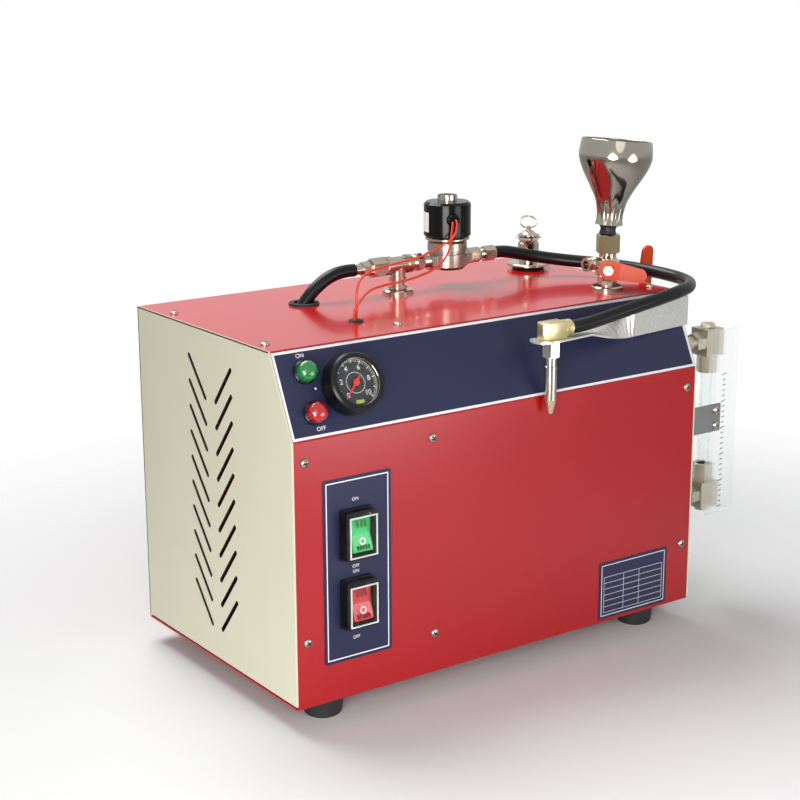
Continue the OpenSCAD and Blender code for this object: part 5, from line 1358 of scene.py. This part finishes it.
@dataclass
class Studio:
    """Pale floor, soft lights and the photograph's camera."""

    camera_at: Triple = (-0.87686, -1.16310, 0.58263)
    back: Triple = (-0.55765, -0.79096, 0.25183)
    roll: float = -0.26
    lens: float = 78.32
    floor_r: float = 3.0
    floor_grey: float = 0.74
    fade: Pair = (0.3, 0.8)
    fill: float = 0.3
    gloss: Pair = (0.16, 0.6)
    dusk: float = -0.2
    aim_z: float = 0.18
    lamps: tuple = (("key_softbox", (-0.78, -0.78, 0.27), 0.6, 9.5, (1.0, 0.98, 0.95)),
                    ("front_softbox", (-0.9, -1.9, 1.3), 1.2, 4.0, (1.0, 1.0, 1.0)),
                    ("sheen_softbox", (0.3, -0.9, 0.2), 0.5, 2.2, (1.0, 1.0, 1.0)),
                    ("top_softbox", (-0.2, 0.9, 1.9), 1.4, 34.0, (1.0, 1.0, 1.0)))

    def camera(self) -> None:
        """Sets the camera where the photograph was taken."""
        data = bpy.data.cameras.new("camera")
        data.lens = self.lens
        data.sensor_width = 36.0
        data.clip_end = 50.0
        holder = put("camera", data)
        away = Vector(self.back).normalized()
        right = Vector((0, 0, 1)).cross(away).normalized()
        right = Matrix.Rotation(math.radians(self.roll), 3, away) @ right
        up = away.cross(right)
        turned = Matrix((right, up, away)).transposed().to_4x4()
        holder.matrix_world = Matrix.Translation(self.camera_at) @ turned
        bpy.context.scene.camera = holder

    def backdrop(self) -> None:
        """A world that is white to the camera and through glass, and dimmer as a light.

        Gloss sees it less bright, and darker below the horizon, where the room's floor would be.
        """
        world = bpy.data.worlds.new("studio")
        bpy.context.scene.world = world
        tree = empty_tree(world)
        path = add_node(tree, "LightPath")
        seen = add_node(tree, "Math", {0: path.outputs["Is Camera Ray"],
                                       1: path.outputs["Is Transmission Ray"]}, operation="MAXIMUM")
        towards = add_node(tree, "SeparateXYZ", {0: add_node(tree, "TexCoord").outputs["Generated"]})
        level = add_node(tree, "MapRange", {"Value": towards.outputs["Z"],
                                            "From Min": self.dusk, "From Max": 0.0,
                                            "To Min": self.gloss[0], "To Max": self.gloss[1]},
                         interpolation_type="SMOOTHSTEP")
        mirrored = add_node(tree, "Math", {0: path.outputs["Is Glossy Ray"], 1: level.outputs[0]},
                            operation="MULTIPLY")
        whiteness = add_node(tree, "Math", {0: seen.outputs[0], 1: mirrored.outputs[0]},
                             operation="MAXIMUM")
        dim = add_node(tree, "Background", {"Color": (0.95, 0.97, 1.0, 1), "Strength": self.fill})
        white = add_node(tree, "Background", {"Color": (1, 1, 1, 1), "Strength": 1.0})
        mix = add_node(tree, "MixShader",
                       {0: whiteness.outputs[0], 1: dim.outputs[0], 2: white.outputs[0]})
        add_node(tree, "OutputWorld", {"Surface": mix.outputs[0]})

    def floor(self) -> None:
        """A pale floor that fades into the white round the object and keeps its shadow."""
        shape = bmesh.new()
        bmesh.ops.create_circle(shape, cap_ends=True, segments=96, radius=self.floor_r)
        mesh = bpy.data.meshes.new("studio_floor")
        shape.to_mesh(mesh)
        shape.free()
        holder = put("studio_floor", mesh)
        paper = bpy.data.materials.new("paper_floor")
        tree = empty_tree(paper)
        place = add_node(tree, "TexCoord").outputs["Object"]
        away = add_node(tree, "VectorMath", {0: place}, operation="LENGTH")
        fade = add_node(tree, "MapRange", {"Value": away.outputs["Value"], "From Min": self.fade[0],
                                           "From Max": self.fade[1]}, interpolation_type="SMOOTHSTEP")
        body = add_node(tree, "BsdfDiffuse", {"Color": (*[self.floor_grey] * 3, 1)})
        clear = add_node(tree, "BsdfTransparent")
        mix = add_node(tree, "MixShader",
                       {0: fade.outputs[0], 1: body.outputs[0], 2: clear.outputs[0]})
        add_node(tree, "OutputMaterial", {"Surface": mix.outputs[0]})
        mesh.materials.append(paper)

    def lamp(self, name: str, at: Triple, size: float, power: float, colour: Triple) -> None:
        """A soft round light aimed at the middle of the object.

        Args:
            name: its name.
            at: where it stands, in metres.
            size: its diameter.
            power: its power in watts.
            colour: its colour.
        """
        data = bpy.data.lights.new(name, "AREA")
        data.shape = "DISK"
        data.size = size
        data.energy = power
        data.color = colour
        holder = put(name, data)
        aim = Vector((0, 0, self.aim_z)) - Vector(at)
        holder.matrix_world = Matrix.Translation(at) @ aim.to_track_quat("-Z", "Y").to_matrix().to_4x4()
        holder.visible_camera = False

    def build(self) -> None:
        """Sets the whole studio."""
        bpy.context.scene.view_settings.view_transform = "Standard"
        self.camera()
        self.backdrop()
        self.floor()
        for lamp in self.lamps:
            self.lamp(*lamp)


def main() -> None:
    """Builds the studio, the finishes and every added piece."""
    logging.basicConfig(level=logging.INFO, format="%(name)s %(message)s")
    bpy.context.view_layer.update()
    Studio().build()
    Hoses().build()
    dress_solids()
    for assembly in (Fasteners(), Fascia(), SwitchPlate(), RatingPlate(), SteamTrain(), Filler(),
                     LevelGuard(), Nozzle(), SafetyValve(), Seams()):
        assembly.build()
        LOG.info("%s done", type(assembly).__name__)


if __name__ == "__main__":
    main()
